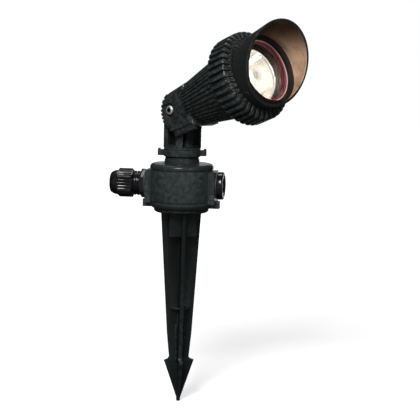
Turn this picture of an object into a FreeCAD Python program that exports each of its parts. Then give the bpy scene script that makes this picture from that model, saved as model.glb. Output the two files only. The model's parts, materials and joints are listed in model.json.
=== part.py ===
import FreeCAD, Part

import math
import os
import re

import Sketcher

# Garden spike spotlight, in millimetres.
# Row frame: +Z up the spike, Z = 0 at the underside of the base cap (the soil line),
# X along the two cable hubs (gland at -X, blanking plug at +X).
# The swivelling stem and the tilting head are drawn in frames of their own, with +X
# along the way the lamp points, and are set into the row frame by their placements.

doc = FreeCAD.newDocument("GardenSpikeSpotlight")
sheet = doc.addObject("Spreadsheet::Sheet", "Sizes")

SIZES = [
    # pose of the head, read off the object as it stands
    ("pivot_z", 93.0, "height of the tilt pivot over the soil line"),
    ("head_yaw", -35.0, "way the head points, about Z from +X"),
    ("head_tilt", 21.2, "lift of the head axis over the horizontal"),
    ("cap_roll", -18.6, "turn of the hood about the head axis"),
    ("spike_yaw", 20.0, "turn of the blades about Z"),
    ("ring_yaw", 6.0, "turn of the lock ring wings about Z"),
    # clearances
    ("play", 0.07, "radial play of a running fit"),
    ("gap", 0.3, "gap between faces of pieces that move on each other"),
    # junction box
    ("drum_r", 30.1, "drum outer radius"),
    ("drum_low", 6.6, "drum lower rim"),
    ("drum_top", 42.3, "flat top of the drum"),
    ("drum_round", 3.3, "rounding of the drum's upper edge"),
    ("drum_wall", 2.5, "drum wall"),
    ("roof", 3.0, "thickness of the drum's top"),
    ("neck_r", 16.5, "neck outer radius"),
    ("neck_top", 48.7, "top of the neck"),
    ("spigot_bore", 10.0, "bore of the neck for the stem"),
    ("hub_proud", 3.1, "reach of the hub blocks past the drum"),
    ("hub_x", "=drum_r+hub_proud", "outer face of the hub blocks"),
    ("hub_z", 22.2, "height of the hub axis"),
    ("hub_wide", 26.0, "width of a hub block"),
    ("hub_low", 4.0, "lower end of a hub block"),
    ("hub_high", 36.0, "upper end of a hub block"),
    ("hub_bore", 10.0, "M20 entry radius"),
    ("seal_depth", 1.5, "depth of the seal groove in the cap's ring"),
    ("post_r", 3.4, "screw post radius"),
    ("post_at", "=(drum_r-drum_wall-gap-seal_depth-post_r-0.2)/sqrt(2)", "screw posts, X and Y off the axis"),
    ("post_low", 12.5, "lower end of the posts"),
    # base cap
    ("foot_r", "=drum_r-3.8", "radius of the cap's flat underside"),
    ("floor", 3.2, "cap floor thickness"),
    ("lip_top", 12.0, "top of the cap's inner ring"),
    ("lip_wall", 2.3, "wall of the cap's inner ring"),
    ("boss_r", 13.2, "boss that takes the spike's stub"),
    ("boss_top", 16.0, "top of that boss"),
    ("seal_low", 8.2, "lower face of the seal groove"),
    ("seal_high", 10.4, "upper face of the seal groove"),
    ("latch_t", 3.3, "thickness of the side latches"),
    ("latch_x", "=hub_x+0.2+latch_t", "outer face of the side latches"),
    ("latch_half", 4.5, "half width of a latch"),
    # spike
    ("flange_low", 3.6, "underside of the spike's flange"),
    ("blade_top", 19.4, "blade half width at the top"),
    ("blade_low", 9.4, "blade half width above the barb"),
    ("blade_end", 144.4, "depth of the blade's lower end"),
    ("barb", 14.5, "barb half width"),
    ("barb_z", 148.2, "depth of the barb points"),
    ("spike_tip", 188.5, "depth of the tip"),
    ("blade_t", 3.4, "blade thickness"),
    ("block_half", 13.2, "half width of the block between the blades"),
    ("block_low", 26.0, "depth of the block's lower end"),
    # stem
    ("tower_w", 25.6, "side of the square tower"),
    ("plinth_r", "=tower_w*0.684", "plinth radius, just round the tower's corners"),
    ("ring_high", 55.8, "top of the lock ring"),
    ("plinth_low", "=ring_high+gap", "underside of the plinth"),
    ("plinth_top", "=plinth_low+1.6", "top of the plinth"),
    ("spigot_low", 32.0, "lower end of the spigot"),
    ("lead_r", 2.5, "sheathed lead radius"),
    ("channel", 4.0, "lead channel radius"),
    ("window", 3.6, "half width of the knuckle's lead window"),
    ("knuckle_r", "=tower_w/2", "knuckle radius"),
    # lock ring
    ("ring_r", "=plinth_r+gap", "lock ring disc radius"),
    ("wing_r", "=ring_r+5.2", "reach of the wings"),
    ("wing_half", 4.6, "half width of a wing"),
    # housing, s = distance from the pivot along the head axis
    ("cone_zero", 16.6, "cone radius at the pivot, at the root of the ribs"),
    ("cone_rise", 0.18, "rise of the cone radius per millimetre"),
    ("rib_high", 1.3, "height of the cone's ribs"),
    ("rib_wide", 1.8, "width of the cone's ribs"),
    ("rib_count", 44, "ribs round the cone"),
    ("cone_end", 78.0, "front end of the ribbed cone"),
    ("shell", 2.4, "housing wall"),
    ("rear_wall", 26.0, "inner face of the housing's rear wall"),
    ("collar_r", 33.0, "threaded collar radius"),
    ("nose_s", 95.5, "end of the collar's thread, where its nose begins"),
    ("seat_r", 30.6, "pocket in the cap for the collar's nose and the gasket"),
    ("nose_r", "=seat_r-gap", "nose radius of the collar"),
    ("collar_in", 28.0, "collar inner radius"),
    ("collar_end", 103.2, "front rim of the collar"),
    ("cheek_t", 5.0, "thickness of the cheeks"),
    ("slot_y", "=tower_w/2+gap", "inner face of the cheeks"),
    ("cheek_y", "=slot_y+cheek_t", "outer face of the cheeks"),
    ("pad_end", 21.0, "front edge of the flat cheek pads"),
    ("pad_lean", 0.8, "draft of the wall in front of a pad"),
    ("sink", 3.0, "depth of the screw recess in a cheek"),
    ("sink_r", 6.6, "radius of that recess"),
    ("screw_r", 4.0, "pivot screw shoulder radius"),
    # front cap
    ("cap_rear", 78.0, "rear edge of the cap"),
    ("cap_front", 97.0, "front end of the cap's grip"),
    ("cap_step", "=nose_s+0.5", "shoulder inside the cap"),
    ("cap_root", 39.6, "cap radius between its ribs"),
    ("cap_tip", 41.4, "cap radius over its ribs"),
    ("cap_ribs", 40, "ribs round the cap"),
    ("cap_rib_wide", 3.6, "width of a cap rib"),
    ("cap_bore", 34.4, "bore over the housing's thread"),
    ("hood_r", 33.8, "hood radius at its short side"),
    ("hood_rise", 0.1, "rise of the hood radius per millimetre"),
    ("hood_wall", 2.3, "hood wall"),
    ("hood_short", 110.0, "short side of the hood"),
    ("hood_long", 142.5, "long side of the hood"),
    ("lip_s", 109.8, "rear face of the glass lip"),
    ("lip_r", 28.5, "opening inside the glass lip"),
    ("seat_s", 103.5, "rear face of the gasket"),
    ("glass_r", 29.2, "front glass radius"),
    ("glass_t", 3.4, "front glass thickness"),
    ("gasket_in", 26.2, "gasket inner radius"),
    # lamp
    ("lamp_r", 25.0, "lamp face radius"),
    ("lamp_s", 100.8, "lamp face"),
    ("pin_y", 5.0, "lamp pins off the axis"),
    ("slot_turn", 34, "length of the holder's slots before a pin, degrees"),
    ("screw_in", 6.6, "screws of the lamp holder, off the axis"),
    ("screw_out", 14.0, "screws of the bracket, off the axis"),
    ("holder_r", 14.0, "lamp holder radius"),
    ("holder_s", 49.5, "front face of the lamp holder"),
    # gland and plug, x measured from the drum axis outwards
    ("thread_in", "=hub_x-10", "inner end of the M20 threads"),
    ("nut_flat", 12.0, "half of the 24 mm across flats"),
    ("gland_end", "=hub_x+35.1", "outer end of the gland"),
    ("plug_r", 13.1, "blanking plug radius"),
    ("plug_end", "=hub_x+7.4", "outer face of the blanking plug"),
    ("cable_r", 4.0, "cable bore of the gland seal"),
    # terminal block
    ("pole", 8.4, "pitch of the terminals"),
]
for row, (name, size, words) in enumerate(SIZES, 1):
    sheet.set("A%d" % row, name)
    sheet.set("B%d" % row, str(size))
    sheet.set("C%d" % row, words)
    sheet.setAlias("B%d" % row, name)
doc.recompute()
NAMES = {name for name, size, words in SIZES}


def ex(text):
    """The expression with every size name pointed at the sheet."""
    return re.sub(r"[a-z_][a-z_0-9]*", lambda w: ("Sizes." if w.group(0) in NAMES else "") + w.group(0), text)


def val(text):
    """The present value of an expression, as a number."""
    return float(sheet.evalExpression(ex(text)))


def body(label):
    made = doc.addObject("PartDesign::Body", label)
    made.Label = label
    return made


def plane(owner, role):
    return [one for one in owner.Origin.OriginFeatures if one.Role == role][0]


def blank_sketch(owner, role, lift, spin):
    sketch = owner.newObject("Sketcher::SketchObject", owner.Label + "_sketch")
    sketch.AttachmentSupport = (plane(owner, role), [""])
    sketch.MapMode = "FlatFace"
    if spin:
        turn = FreeCAD.Rotation(FreeCAD.Vector(0, 1, 0), spin)
        sketch.AttachmentOffset = FreeCAD.Placement(FreeCAD.Vector(), turn)
    if lift:
        sketch.setExpression("AttachmentOffset.Base.z", ex(lift))
    return sketch


def bind(sketch, kind, where, text):
    index = sketch.addConstraint(Sketcher.Constraint(kind, *where, val(text)))
    sketch.setExpression("Constraints[%d]" % index, ex(text))


def closed(sketch, points):
    """A closed outline. A point is (x, y), or (x, y, radius, "ccw" or "cw") where an arc
    leaves it; ccw puts the arc's centre on the left of the way to the next point."""
    first = sketch.GeometryCount
    spots = [FreeCAD.Vector(val(p[0]), val(p[1]), 0) for p in points]
    ends = []
    for i, point in enumerate(points):
        a, b = spots[i], spots[(i + 1) % len(spots)]
        if len(point) == 2:
            sketch.addGeometry(Part.LineSegment(a, b), False)
            ends.append((1, 2))
            continue
        radius, left = val(point[2]), point[3] == "ccw"
        chord = b - a
        rise = math.sqrt(max(radius**2 - chord.Length**2 / 4, 0.0))
        normal = FreeCAD.Vector(-chord.y, chord.x, 0) / chord.Length
        centre = (a + b) * 0.5 + normal * (rise if left else -rise)
        start, stop = (a, b) if left else (b, a)
        low = math.atan2(start.y - centre.y, start.x - centre.x)
        high = math.atan2(stop.y - centre.y, stop.x - centre.x)
        high += 2 * math.pi if high <= low else 0
        circle = Part.Circle(centre, FreeCAD.Vector(0, 0, 1), radius)
        sketch.addGeometry(Part.ArcOfCircle(circle, low, high), False)
        ends.append((1, 2) if left else (2, 1))
    for i in range(len(points)):
        j = (i + 1) % len(points)
        sketch.addConstraint(Sketcher.Constraint("Coincident", first + i, ends[i][1], first + j, ends[j][0]))
    for i, point in enumerate(points):
        bind(sketch, "DistanceX", (-1, 1, first + i, ends[i][0]), point[0])
        bind(sketch, "DistanceY", (-1, 1, first + i, ends[i][0]), point[1])
        if len(point) > 2:
            bind(sketch, "Radius", (first + i,), point[2])


def outline(owner, role, points, lift=None, spin=0):
    sketch = blank_sketch(owner, role, lift, spin)
    closed(sketch, points)
    return sketch


def outlines(owner, role, loops, lift=None):
    sketch = blank_sketch(owner, role, lift, 0)
    for points in loops:
        closed(sketch, points)
    return sketch


def rounds(owner, role, circles, lift=None):
    """A sketch of circles, each (x, y, radius)."""
    sketch = blank_sketch(owner, role, lift, 0)
    for x, y, radius in circles:
        spot = FreeCAD.Vector(val(x), val(y), 0)
        index = sketch.addGeometry(Part.Circle(spot, FreeCAD.Vector(0, 0, 1), val(radius)), False)
        bind(sketch, "DistanceX", (-1, 1, index, 3), x)
        bind(sketch, "DistanceY", (-1, 1, index, 3), y)
        bind(sketch, "Radius", (index,), radius)
    return sketch


def box_points(x0, x1, y0, y1):
    return [(x0, y0), (x1, y0), (x1, y1), (x0, y1)]


def hex_points(flat, x="0", y="0"):
    """A hexagon by half its width across flats, with a flat on +X and -X."""
    spots = []
    for turn in (-30, 30, 90, 150, 210, 270):
        reach = "(%s)/cos(30)" % flat
        spots.append(("(%s)+%s*cos(%d)" % (x, reach, turn), "(%s)+%s*sin(%d)" % (y, reach, turn)))
    return spots


def revolve(owner, sketch, axis="V_Axis", cut=False):
    kind = "PartDesign::Groove" if cut else "PartDesign::Revolution"
    made = owner.newObject(kind, owner.Label + "_turn")
    made.Profile = sketch
    made.ReferenceAxis = (sketch, [axis])
    made.Angle = 360
    sketch.Visibility = False
    return made


def extrude(owner, sketch, length, cut=False, back=False, both=False):
    """Pads go along the sketch's normal and pockets against it; back swaps that."""
    kind = "PartDesign::Pocket" if cut else "PartDesign::Pad"
    made = owner.newObject(kind, owner.Label + ("_pocket" if cut else "_pad"))
    made.Profile = sketch
    made.setExpression("Length", ex(length))
    if both:
        made.SideType = "Symmetric"
    made.Reversed = back
    sketch.Visibility = False
    return made


def pattern(owner, feature, role, count):
    made = owner.newObject("PartDesign::PolarPattern", owner.Label + "_pattern")
    made.Originals = [feature]
    made.Axis = (plane(owner, role), [""])
    made.Angle = 360
    owner.Tip = made
    made.setExpression("Occurrences", ex(count))
    return made


def soften(owner, radius, wanted, kind="Fillet"):
    """Rounds or chamfers the edges of the body's tip that wanted(edge) picks."""
    doc.recompute()
    base = owner.Tip
    picked = ["Edge%d" % (i + 1) for i, edge in enumerate(base.Shape.Edges) if wanted(edge)]
    made = owner.newObject("PartDesign::" + kind, owner.Label + "_edge")
    made.Base = (base, picked)
    made.setExpression("Radius" if kind == "Fillet" else "Size", ex(radius))
    return made


def place(made, x="0", y="0", z="0", yaw="0", pitch="0", roll="0"):
    spot = "create(<<vector>>; %s; %s; %s)" % (ex(x), ex(y), ex(z))
    turn = "create(<<rotation>>; %s; %s; %s)" % (ex(yaw), ex(pitch), ex(roll))
    made.setExpression("Placement", "create(<<placement>>; %s; %s)" % (spot, turn))
    return made


def on_head(made, roll="0"):
    """Sets a piece drawn in the head's frame into the row frame."""
    return place(made, z="pivot_z", yaw="head_yaw", pitch="0-head_tilt", roll=roll)


def join(kind, label, links):
    made = doc.addObject("Part::" + kind, label)
    made.Label = label
    if kind in ("MultiFuse", "MultiCommon"):
        made.Shapes = links
    elif kind == "Compound":
        made.Links = links
    else:
        made.Base, made.Tool = links
    return made


def screw(label, shank_r, length, head_r, head_h, socket):
    """A cap screw along Z: underside of its head at Z = 0, shank down, cross or hex drive."""
    made = body(label)
    tip = "0-(%s)" % length
    profile = [("0", tip), (shank_r + "-0.5", tip), (shank_r, tip + "+0.6"), (shank_r, "0"), (head_r, "0")]
    profile += [(head_r, head_h + "-0.5"), (head_r + "-0.7", head_h), ("0", head_h)]
    revolve(made, outline(made, "XZ_Plane", profile))
    if socket == "hex":
        drive = hex_points("(%s)*0.42" % head_r)
    else:
        arm, half = "(%s)*0.62" % head_r, "0.35"
        drive = []
        for sx, sy in ((1, 1), (-1, 1), (-1, -1), (1, -1)):
            near = [("%d*(%s)" % (sx, arm), "%d*%s" % (sy, half)), ("%d*%s" % (sx, half), "%d*%s" % (sy, half))]
            near.append(("%d*%s" % (sx, half), "%d*(%s)" % (sy, arm)))
            drive += near if sx * sy > 0 else near[::-1]
    extrude(made, outline(made, "XY_Plane", drive, lift=head_h), "(%s)*0.6" % head_h, cut=True)
    return made


def sleeve(label, points):
    """A piece turned about Z, points as (radius, height)."""
    made = body(label)
    revolve(made, outline(made, "XZ_Plane", points))
    return made


def turned(label, points):
    """A piece turned about X, points as (distance along X, radius)."""
    made = body(label)
    revolve(made, outline(made, "XZ_Plane", points), "H_Axis")
    return made


# ---------------------------------------------------------------- junction box
def make_box():
    box = body("junction_box")
    low, rim = "drum_low", "drum_top-drum_round"
    profile = [("0", low), ("drum_r-0.8", low), ("drum_r", low + "+0.8"), ("drum_r", rim + "-2.6")]
    profile += [("drum_r-0.6", rim + "-2.3"), ("drum_r-0.6", rim + "-1.5"), ("drum_r", rim + "-1.2")]
    profile += [("drum_r", rim, "drum_round", "ccw"), ("drum_r-drum_round", "drum_top")]
    profile += [("neck_r+0.8", "drum_top"), ("neck_r", "drum_top+0.8"), ("neck_r", "neck_top-2.4")]
    profile += [("neck_r-0.6", "neck_top-2.0"), ("neck_r-0.6", "neck_top-0.6"), ("neck_r-1.2", "neck_top")]
    profile += [("0", "neck_top")]
    revolve(box, outline(box, "XZ_Plane", profile))
    half, trim = "hub_wide/2", "1.6"
    block = [("0-%s+%s" % (half, trim), "hub_low"), ("%s-%s" % (half, trim), "hub_low")]
    block += [(half, "hub_low+" + trim), (half, "hub_high-" + trim), ("%s-%s" % (half, trim), "hub_high")]
    block += [("0-%s+%s" % (half, trim), "hub_high"), ("0-" + half, "hub_high-" + trim)]
    block += [("0-" + half, "hub_low+" + trim)]
    extrude(box, outline(box, "YZ_Plane", block), "2*hub_x", both=True)
    inner, ceiling = "drum_r-drum_wall", "drum_top-roof"
    hollow = [("0", "-1"), ("drum_r+gap", "-1"), ("drum_r+gap", low), (inner, low), (inner, ceiling), ("0", ceiling)]
    revolve(box, outline(box, "XZ_Plane", hollow), cut=True)
    posts = [("%d*post_at" % sx, "%d*post_at" % sy, "post_r") for sx in (-1, 1) for sy in (-1, 1)]
    extrude(box, rounds(box, "XY_Plane", posts, "post_low"), ceiling + "-post_low+0.5")
    pilots = [(x, y, "1.5") for x, y, radius in posts]
    extrude(box, rounds(box, "XY_Plane", pilots, "post_low"), "12", cut=True, back=True)
    neck = rounds(box, "XY_Plane", [("0", "0", "spigot_bore")], "neck_top")
    extrude(box, neck, "neck_top-drum_top+roof+0.5", cut=True)
    entry = rounds(box, "YZ_Plane", [("0", "hub_z", "hub_bore")])
    extrude(box, entry, "2*hub_x+2", cut=True, both=True)
    return box


def make_base_cap():
    cap = body("base_cap")
    ring, seal = "drum_r-drum_wall-gap", "drum_r-drum_wall-gap-seal_depth"
    profile = [("0", "0"), ("foot_r", "0", "6", "ccw"), ("drum_r", "drum_low-2.4"), ("drum_r", "drum_low-0.8")]
    profile += [("drum_r-0.8", "drum_low"), (ring, "drum_low"), (ring, "seal_low"), (seal, "seal_low")]
    profile += [(seal, "seal_high"), (ring, "seal_high"), (ring, "lip_top"), (ring + "-lip_wall", "lip_top")]
    profile += [(ring + "-lip_wall", "floor"), ("boss_r", "floor"), ("boss_r", "boss_top"), ("0", "boss_top")]
    revolve(cap, outline(cap, "XZ_Plane", profile))
    spots = [("%d*post_at" % sx, "%d*post_at" % sy) for sx in (-1, 1) for sy in (-1, 1)]
    pillars = rounds(cap, "XY_Plane", [(x, y, "post_r") for x, y in spots], "floor-0.2")
    extrude(cap, pillars, "post_low-floor+0.1")
    arms = [box_points("%d*(foot_r-1.6)" % side, "%d*latch_x" % side, "0-latch_half", "latch_half") for side in (-1, 1)]
    extrude(cap, outlines(cap, "XY_Plane", arms, "0.6"), "hub_low-0.7")
    inner = "hub_x+0.2"
    hooks = [box_points("%d*(%s)" % (s, inner), "%d*latch_x" % s, "0-latch_half", "latch_half") for s in (-1, 1)]
    extrude(cap, outlines(cap, "XY_Plane", hooks, "0.6"), "7")
    bore = rounds(cap, "XY_Plane", [("0", "0", "spigot_bore")])
    extrude(cap, bore, "boss_top-2", cut=True, back=True)
    holes = rounds(cap, "XY_Plane", [(x, y, "2.1") for x, y in spots])
    extrude(cap, holes, "post_low+1", cut=True, back=True)
    sinks = rounds(cap, "XY_Plane", [(x, y, "3.9") for x, y in spots])
    extrude(cap, sinks, "1.9", cut=True, back=True)
    return cap


def make_box_small_parts():
    ring, seal = "drum_r-drum_wall-0.7", "drum_r-drum_wall-gap-seal_depth+play"
    low, high = "seal_low+play", "seal_high-play"
    sleeve("box_seal", [(seal, low), (ring, low, "1.25", "ccw"), (ring, high), (seal, high)])
    made = []
    for i, (sx, sy) in enumerate(((-1, -1), (1, -1), (1, 1), (-1, 1))):
        one = screw("cap_screw_%d" % i, "1.5", "18", "3.4", "1.7", "cross")
        place(one, "%d*post_at" % sx, "%d*post_at" % sy, "1.9", roll="180")
        made.append(one)
    join("Compound", "cap_screws", made)


# ---------------------------------------------------------------- ground spike
def make_spike():
    spike = body("ground_spike")
    side = [("blade_top", "-0.3"), ("blade_top*0.39+blade_low*0.45", "24-blade_end"), ("blade_low", "0-blade_end")]
    side += [("blade_low+1.1", "0-blade_end-2.1"), ("barb", "0-barb_z"), ("barb-0.9", "0-barb_z-2.0")]
    side += [("0.5", "0-spike_tip")]
    blade = side[::-1] + [("0-(%s)" % x, z) for x, z in side]
    for role in ("XZ_Plane", "YZ_Plane"):
        extrude(spike, outline(spike, role, blade), "blade_t", both=True)
    core = [("0", "-0.3"), ("4.6", "-0.3"), ("3.6", "-100"), ("2.7", "0-blade_end"), ("0.4", "1-spike_tip")]
    revolve(spike, outline(spike, "XZ_Plane", core + [("0", "1-spike_tip")]))
    h, c = "block_half", "1.2"
    block = [("0-%s+%s" % (h, c), "0-" + h), ("%s-%s" % (h, c), "0-" + h), (h, "0-%s+%s" % (h, c))]
    block += [(h, "%s-%s" % (h, c)), ("%s-%s" % (h, c), h), ("0-%s+%s" % (h, c), h)]
    block += [("0-" + h, "%s-%s" % (h, c)), ("0-" + h, "0-%s+%s" % (h, c))]
    extrude(spike, outline(spike, "XY_Plane", block, "0-block_low"), "block_low-0.3")
    low, rim = "0-flange_low", "foot_r-0.2"
    stub = [("0", low), (rim + "-2.6", low, "2.8", "ccw"), (rim, low + "+2"), (rim, "-0.3"), ("spigot_bore-0.8", "-0.3")]
    for turn in range(5):
        foot = 1.2 + 2.3 * turn
        stub += [("spigot_bore-0.8", "%g" % foot), ("spigot_bore-play", "%g" % (foot + 0.5))]
        stub += [("spigot_bore-play", "%g" % (foot + 1.1)), ("spigot_bore-0.8", "%g" % (foot + 1.6))]
    stub += [("spigot_bore-0.8", "boss_top-2.6"), ("0", "boss_top-2.6")]
    revolve(spike, outline(spike, "XZ_Plane", stub))
    web = [("0", "-98"), ("8.6", "-98"), ("9.6", "-96.8"), ("9.6", "-95.6"), ("0", "-95.6")]
    revolve(spike, outline(spike, "XZ_Plane", web))
    fin = [("-5.2", "0-blade_end-4"), ("5.2", "0-blade_end-4"), ("6.6", "-116"), ("5.6", "-112.5")]
    fin += [("-5.6", "-112.5"), ("-6.6", "-116")]
    for spin in (45, -45):
        extrude(spike, outline(spike, "XZ_Plane", fin, spin=spin), "1.8", both=True)
    place(spike, yaw="spike_yaw")
    return spike


# ---------------------------------------------------------------- stem and lock ring
def make_stem():
    stem = body("stem")
    fit = "spigot_bore-play"
    profile = [("0", "spigot_low"), (fit + "-0.7", "spigot_low"), (fit, "spigot_low+0.7")]
    profile += [(fit, "drum_top+1.7"), (fit + "-1.83", "drum_top+1.7"), (fit + "-1.83", "drum_top+3.9")]
    profile += [(fit, "drum_top+3.9"), (fit, "plinth_low"), ("plinth_r", "plinth_low")]
    profile += [("plinth_r", "plinth_top-0.8"), ("plinth_r-0.8", "plinth_top"), ("0", "plinth_top")]
    revolve(stem, outline(stem, "XZ_Plane", profile))
    h, c = "tower_w/2", "0.5"
    square = [("0-%s+%s" % (h, c), "0-" + h), ("%s-%s" % (h, c), "0-" + h), (h, "0-%s+%s" % (h, c))]
    square += [(h, "%s-%s" % (h, c)), ("%s-%s" % (h, c), h), ("0-%s+%s" % (h, c), h)]
    square += [("0-" + h, "%s-%s" % (h, c)), ("0-" + h, "0-%s+%s" % (h, c))]
    extrude(stem, outline(stem, "XY_Plane", square, "plinth_top-0.3"), "pivot_z-plinth_top+0.3")
    knuckle = rounds(stem, "XZ_Plane", [("0", "pivot_z", "knuckle_r")])
    extrude(stem, knuckle, "tower_w", both=True)
    low, high = "plinth_top+2.4", "pivot_z-knuckle_r-0.5"
    side = box_points("-6.8", "3.8", low, high)
    extrude(stem, outline(stem, "XZ_Plane", side, "tower_w/2+0.1"), "6.1", cut=True)
    extrude(stem, outline(stem, "XZ_Plane", side, "6-tower_w/2"), "6.1", cut=True)
    slot = [box_points("1-tower_w/2", "5.8-tower_w/2", low + "-1.5", high)]
    extrude(stem, outlines(stem, "YZ_Plane", slot, "tower_w/2+0.1"), "6.1", cut=True)
    panel = [box_points("2", "9.8", low, high + "-1")]
    extrude(stem, outlines(stem, "YZ_Plane", panel, "tower_w/2+0.1"), "1.1", cut=True)
    rear = [box_points("-9.6", "-1.2", low, high), box_points("1.2", "9.6", low, high)]
    extrude(stem, outlines(stem, "YZ_Plane", rear, "1.3-tower_w/2"), "1.4", cut=True)
    way = rounds(stem, "XY_Plane", [("0", "0", "channel")], "spigot_low-1")
    extrude(stem, way, "pivot_z-spigot_low", cut=True, back=True)
    window = box_points("-4.6", "knuckle_r+1.5", "pivot_z-5.6", "pivot_z+knuckle_r+1")
    extrude(stem, outline(stem, "XZ_Plane", window), "2*window", cut=True, both=True)
    tapped = rounds(stem, "XZ_Plane", [("0", "pivot_z", "3")])
    extrude(stem, tapped, "tower_w+1", cut=True, both=True)
    place(stem, yaw="head_yaw")

    seal = body("swivel_seal")
    revolve(seal, rounds(seal, "XZ_Plane", [("spigot_bore-0.98", "drum_top+2.8", "0.9")]))
    place(seal, yaw="head_yaw")

    nut = body("spigot_nut")
    extrude(nut, outline(nut, "XY_Plane", hex_points("13"), "spigot_low+2"), "drum_top-roof-gap-spigot_low-2")
    bore = rounds(nut, "XY_Plane", [("0", "0", "spigot_bore-play+0.05")], "spigot_low")
    extrude(nut, bore, "12", cut=True, back=True)
    place(nut, yaw="head_yaw")

    lead = body("stem_lead")
    core = rounds(lead, "XY_Plane", [("0", "0", "lead_r")], "spigot_low+0.5")
    extrude(lead, core, "pivot_z-4-spigot_low-0.5")
    place(lead, yaw="head_yaw")


def make_lock_ring():
    ring = body("lock_ring")
    low = "neck_top+gap"
    bore = "spigot_bore"
    disc = [(bore, low), ("ring_r-0.8", low), ("ring_r", low + "+0.8"), ("ring_r", "ring_high-0.8")]
    disc += [("ring_r-0.8", "ring_high"), (bore, "ring_high")]
    revolve(ring, outline(ring, "XZ_Plane", disc))
    for side in (1, -1):
        near, far = "%d*(ring_r-3)" % side, "%d*wing_r" % side
        cut = "%d*(wing_r-1.6)" % side
        wing = [(near, "0-wing_half-0.8"), (cut, "0-wing_half"), (far, "1.6-wing_half")]
        wing += [(far, "wing_half-1.6"), (cut, "wing_half"), (near, "wing_half+0.8")]
        extrude(ring, outline(ring, "XY_Plane", wing, low + "+0.9"), "ring_high-neck_top-gap-1.5")
        bump = box_points("%d*(wing_r-2.4)" % side, "%d*(wing_r-0.2)" % side, "1.8-wing_half", "wing_half-1.8")
        extrude(ring, outline(ring, "XY_Plane", bump, "ring_high-1"), "1.7")
    place(ring, yaw="ring_yaw")


def make_pivot_screws():
    for label, side in (("pivot_screw_near", "90"), ("pivot_screw_far", "-90")):
        made = body(label)
        step = "tower_w/2+play"
        profile = [("0", "5.4"), ("2.4", "5.4"), ("2.95", "6"), ("2.95", step), ("screw_r", step)]
        seat = "cheek_y-sink+gap"
        profile += [("screw_r", seat), ("4.7", seat), ("4.7", seat + "+2.7"), ("4.1", seat + "+3.3")]
        profile += [("0", seat + "+3.3")]
        revolve(made, outline(made, "XZ_Plane", profile))
        socket = outline(made, "XY_Plane", hex_points("2.3"), seat + "+3.3")
        extrude(made, socket, "2.4", cut=True)
        place(made, z="pivot_z", yaw="head_yaw", roll=side)


# ---------------------------------------------------------------- lamp housing
def cone(s, extra="0"):
    return "cone_zero+cone_rise*(%s)+(%s)" % (s, extra)


def fork_points(grow):
    front = [("25.4", "18.4+%s" % grow), ("5", "16.6+%s" % grow, "19.2+%s" % grow, "ccw")]
    front += [("-13.4-%s" % grow, "-2", "20+%s" % grow, "ccw"), ("-5-0.8*%s" % grow, "-20.5-0.6*%s" % grow)]
    return front + [("2", "-22.5-%s" % grow), ("26", "-23-%s" % grow)]


def fork(label, grow, half, rounding):
    """The rounded rear block: its side outline grown by grow, half wide to each side."""
    made = body(label)
    extrude(made, outline(made, "XZ_Plane", fork_points(grow)), "2*(%s)" % half, both=True)
    flat = val(half)

    def outer(edge):
        ends = [abs(abs(v.Point.y) - flat) < 1e-4 for v in edge.Vertexes]
        inside = min(v.Point.x for v in edge.Vertexes) < 25.9
        return all(ends) and inside and abs(edge.BoundBox.YLength) < 1e-3
    soften(made, rounding, outer)
    return made


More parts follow.
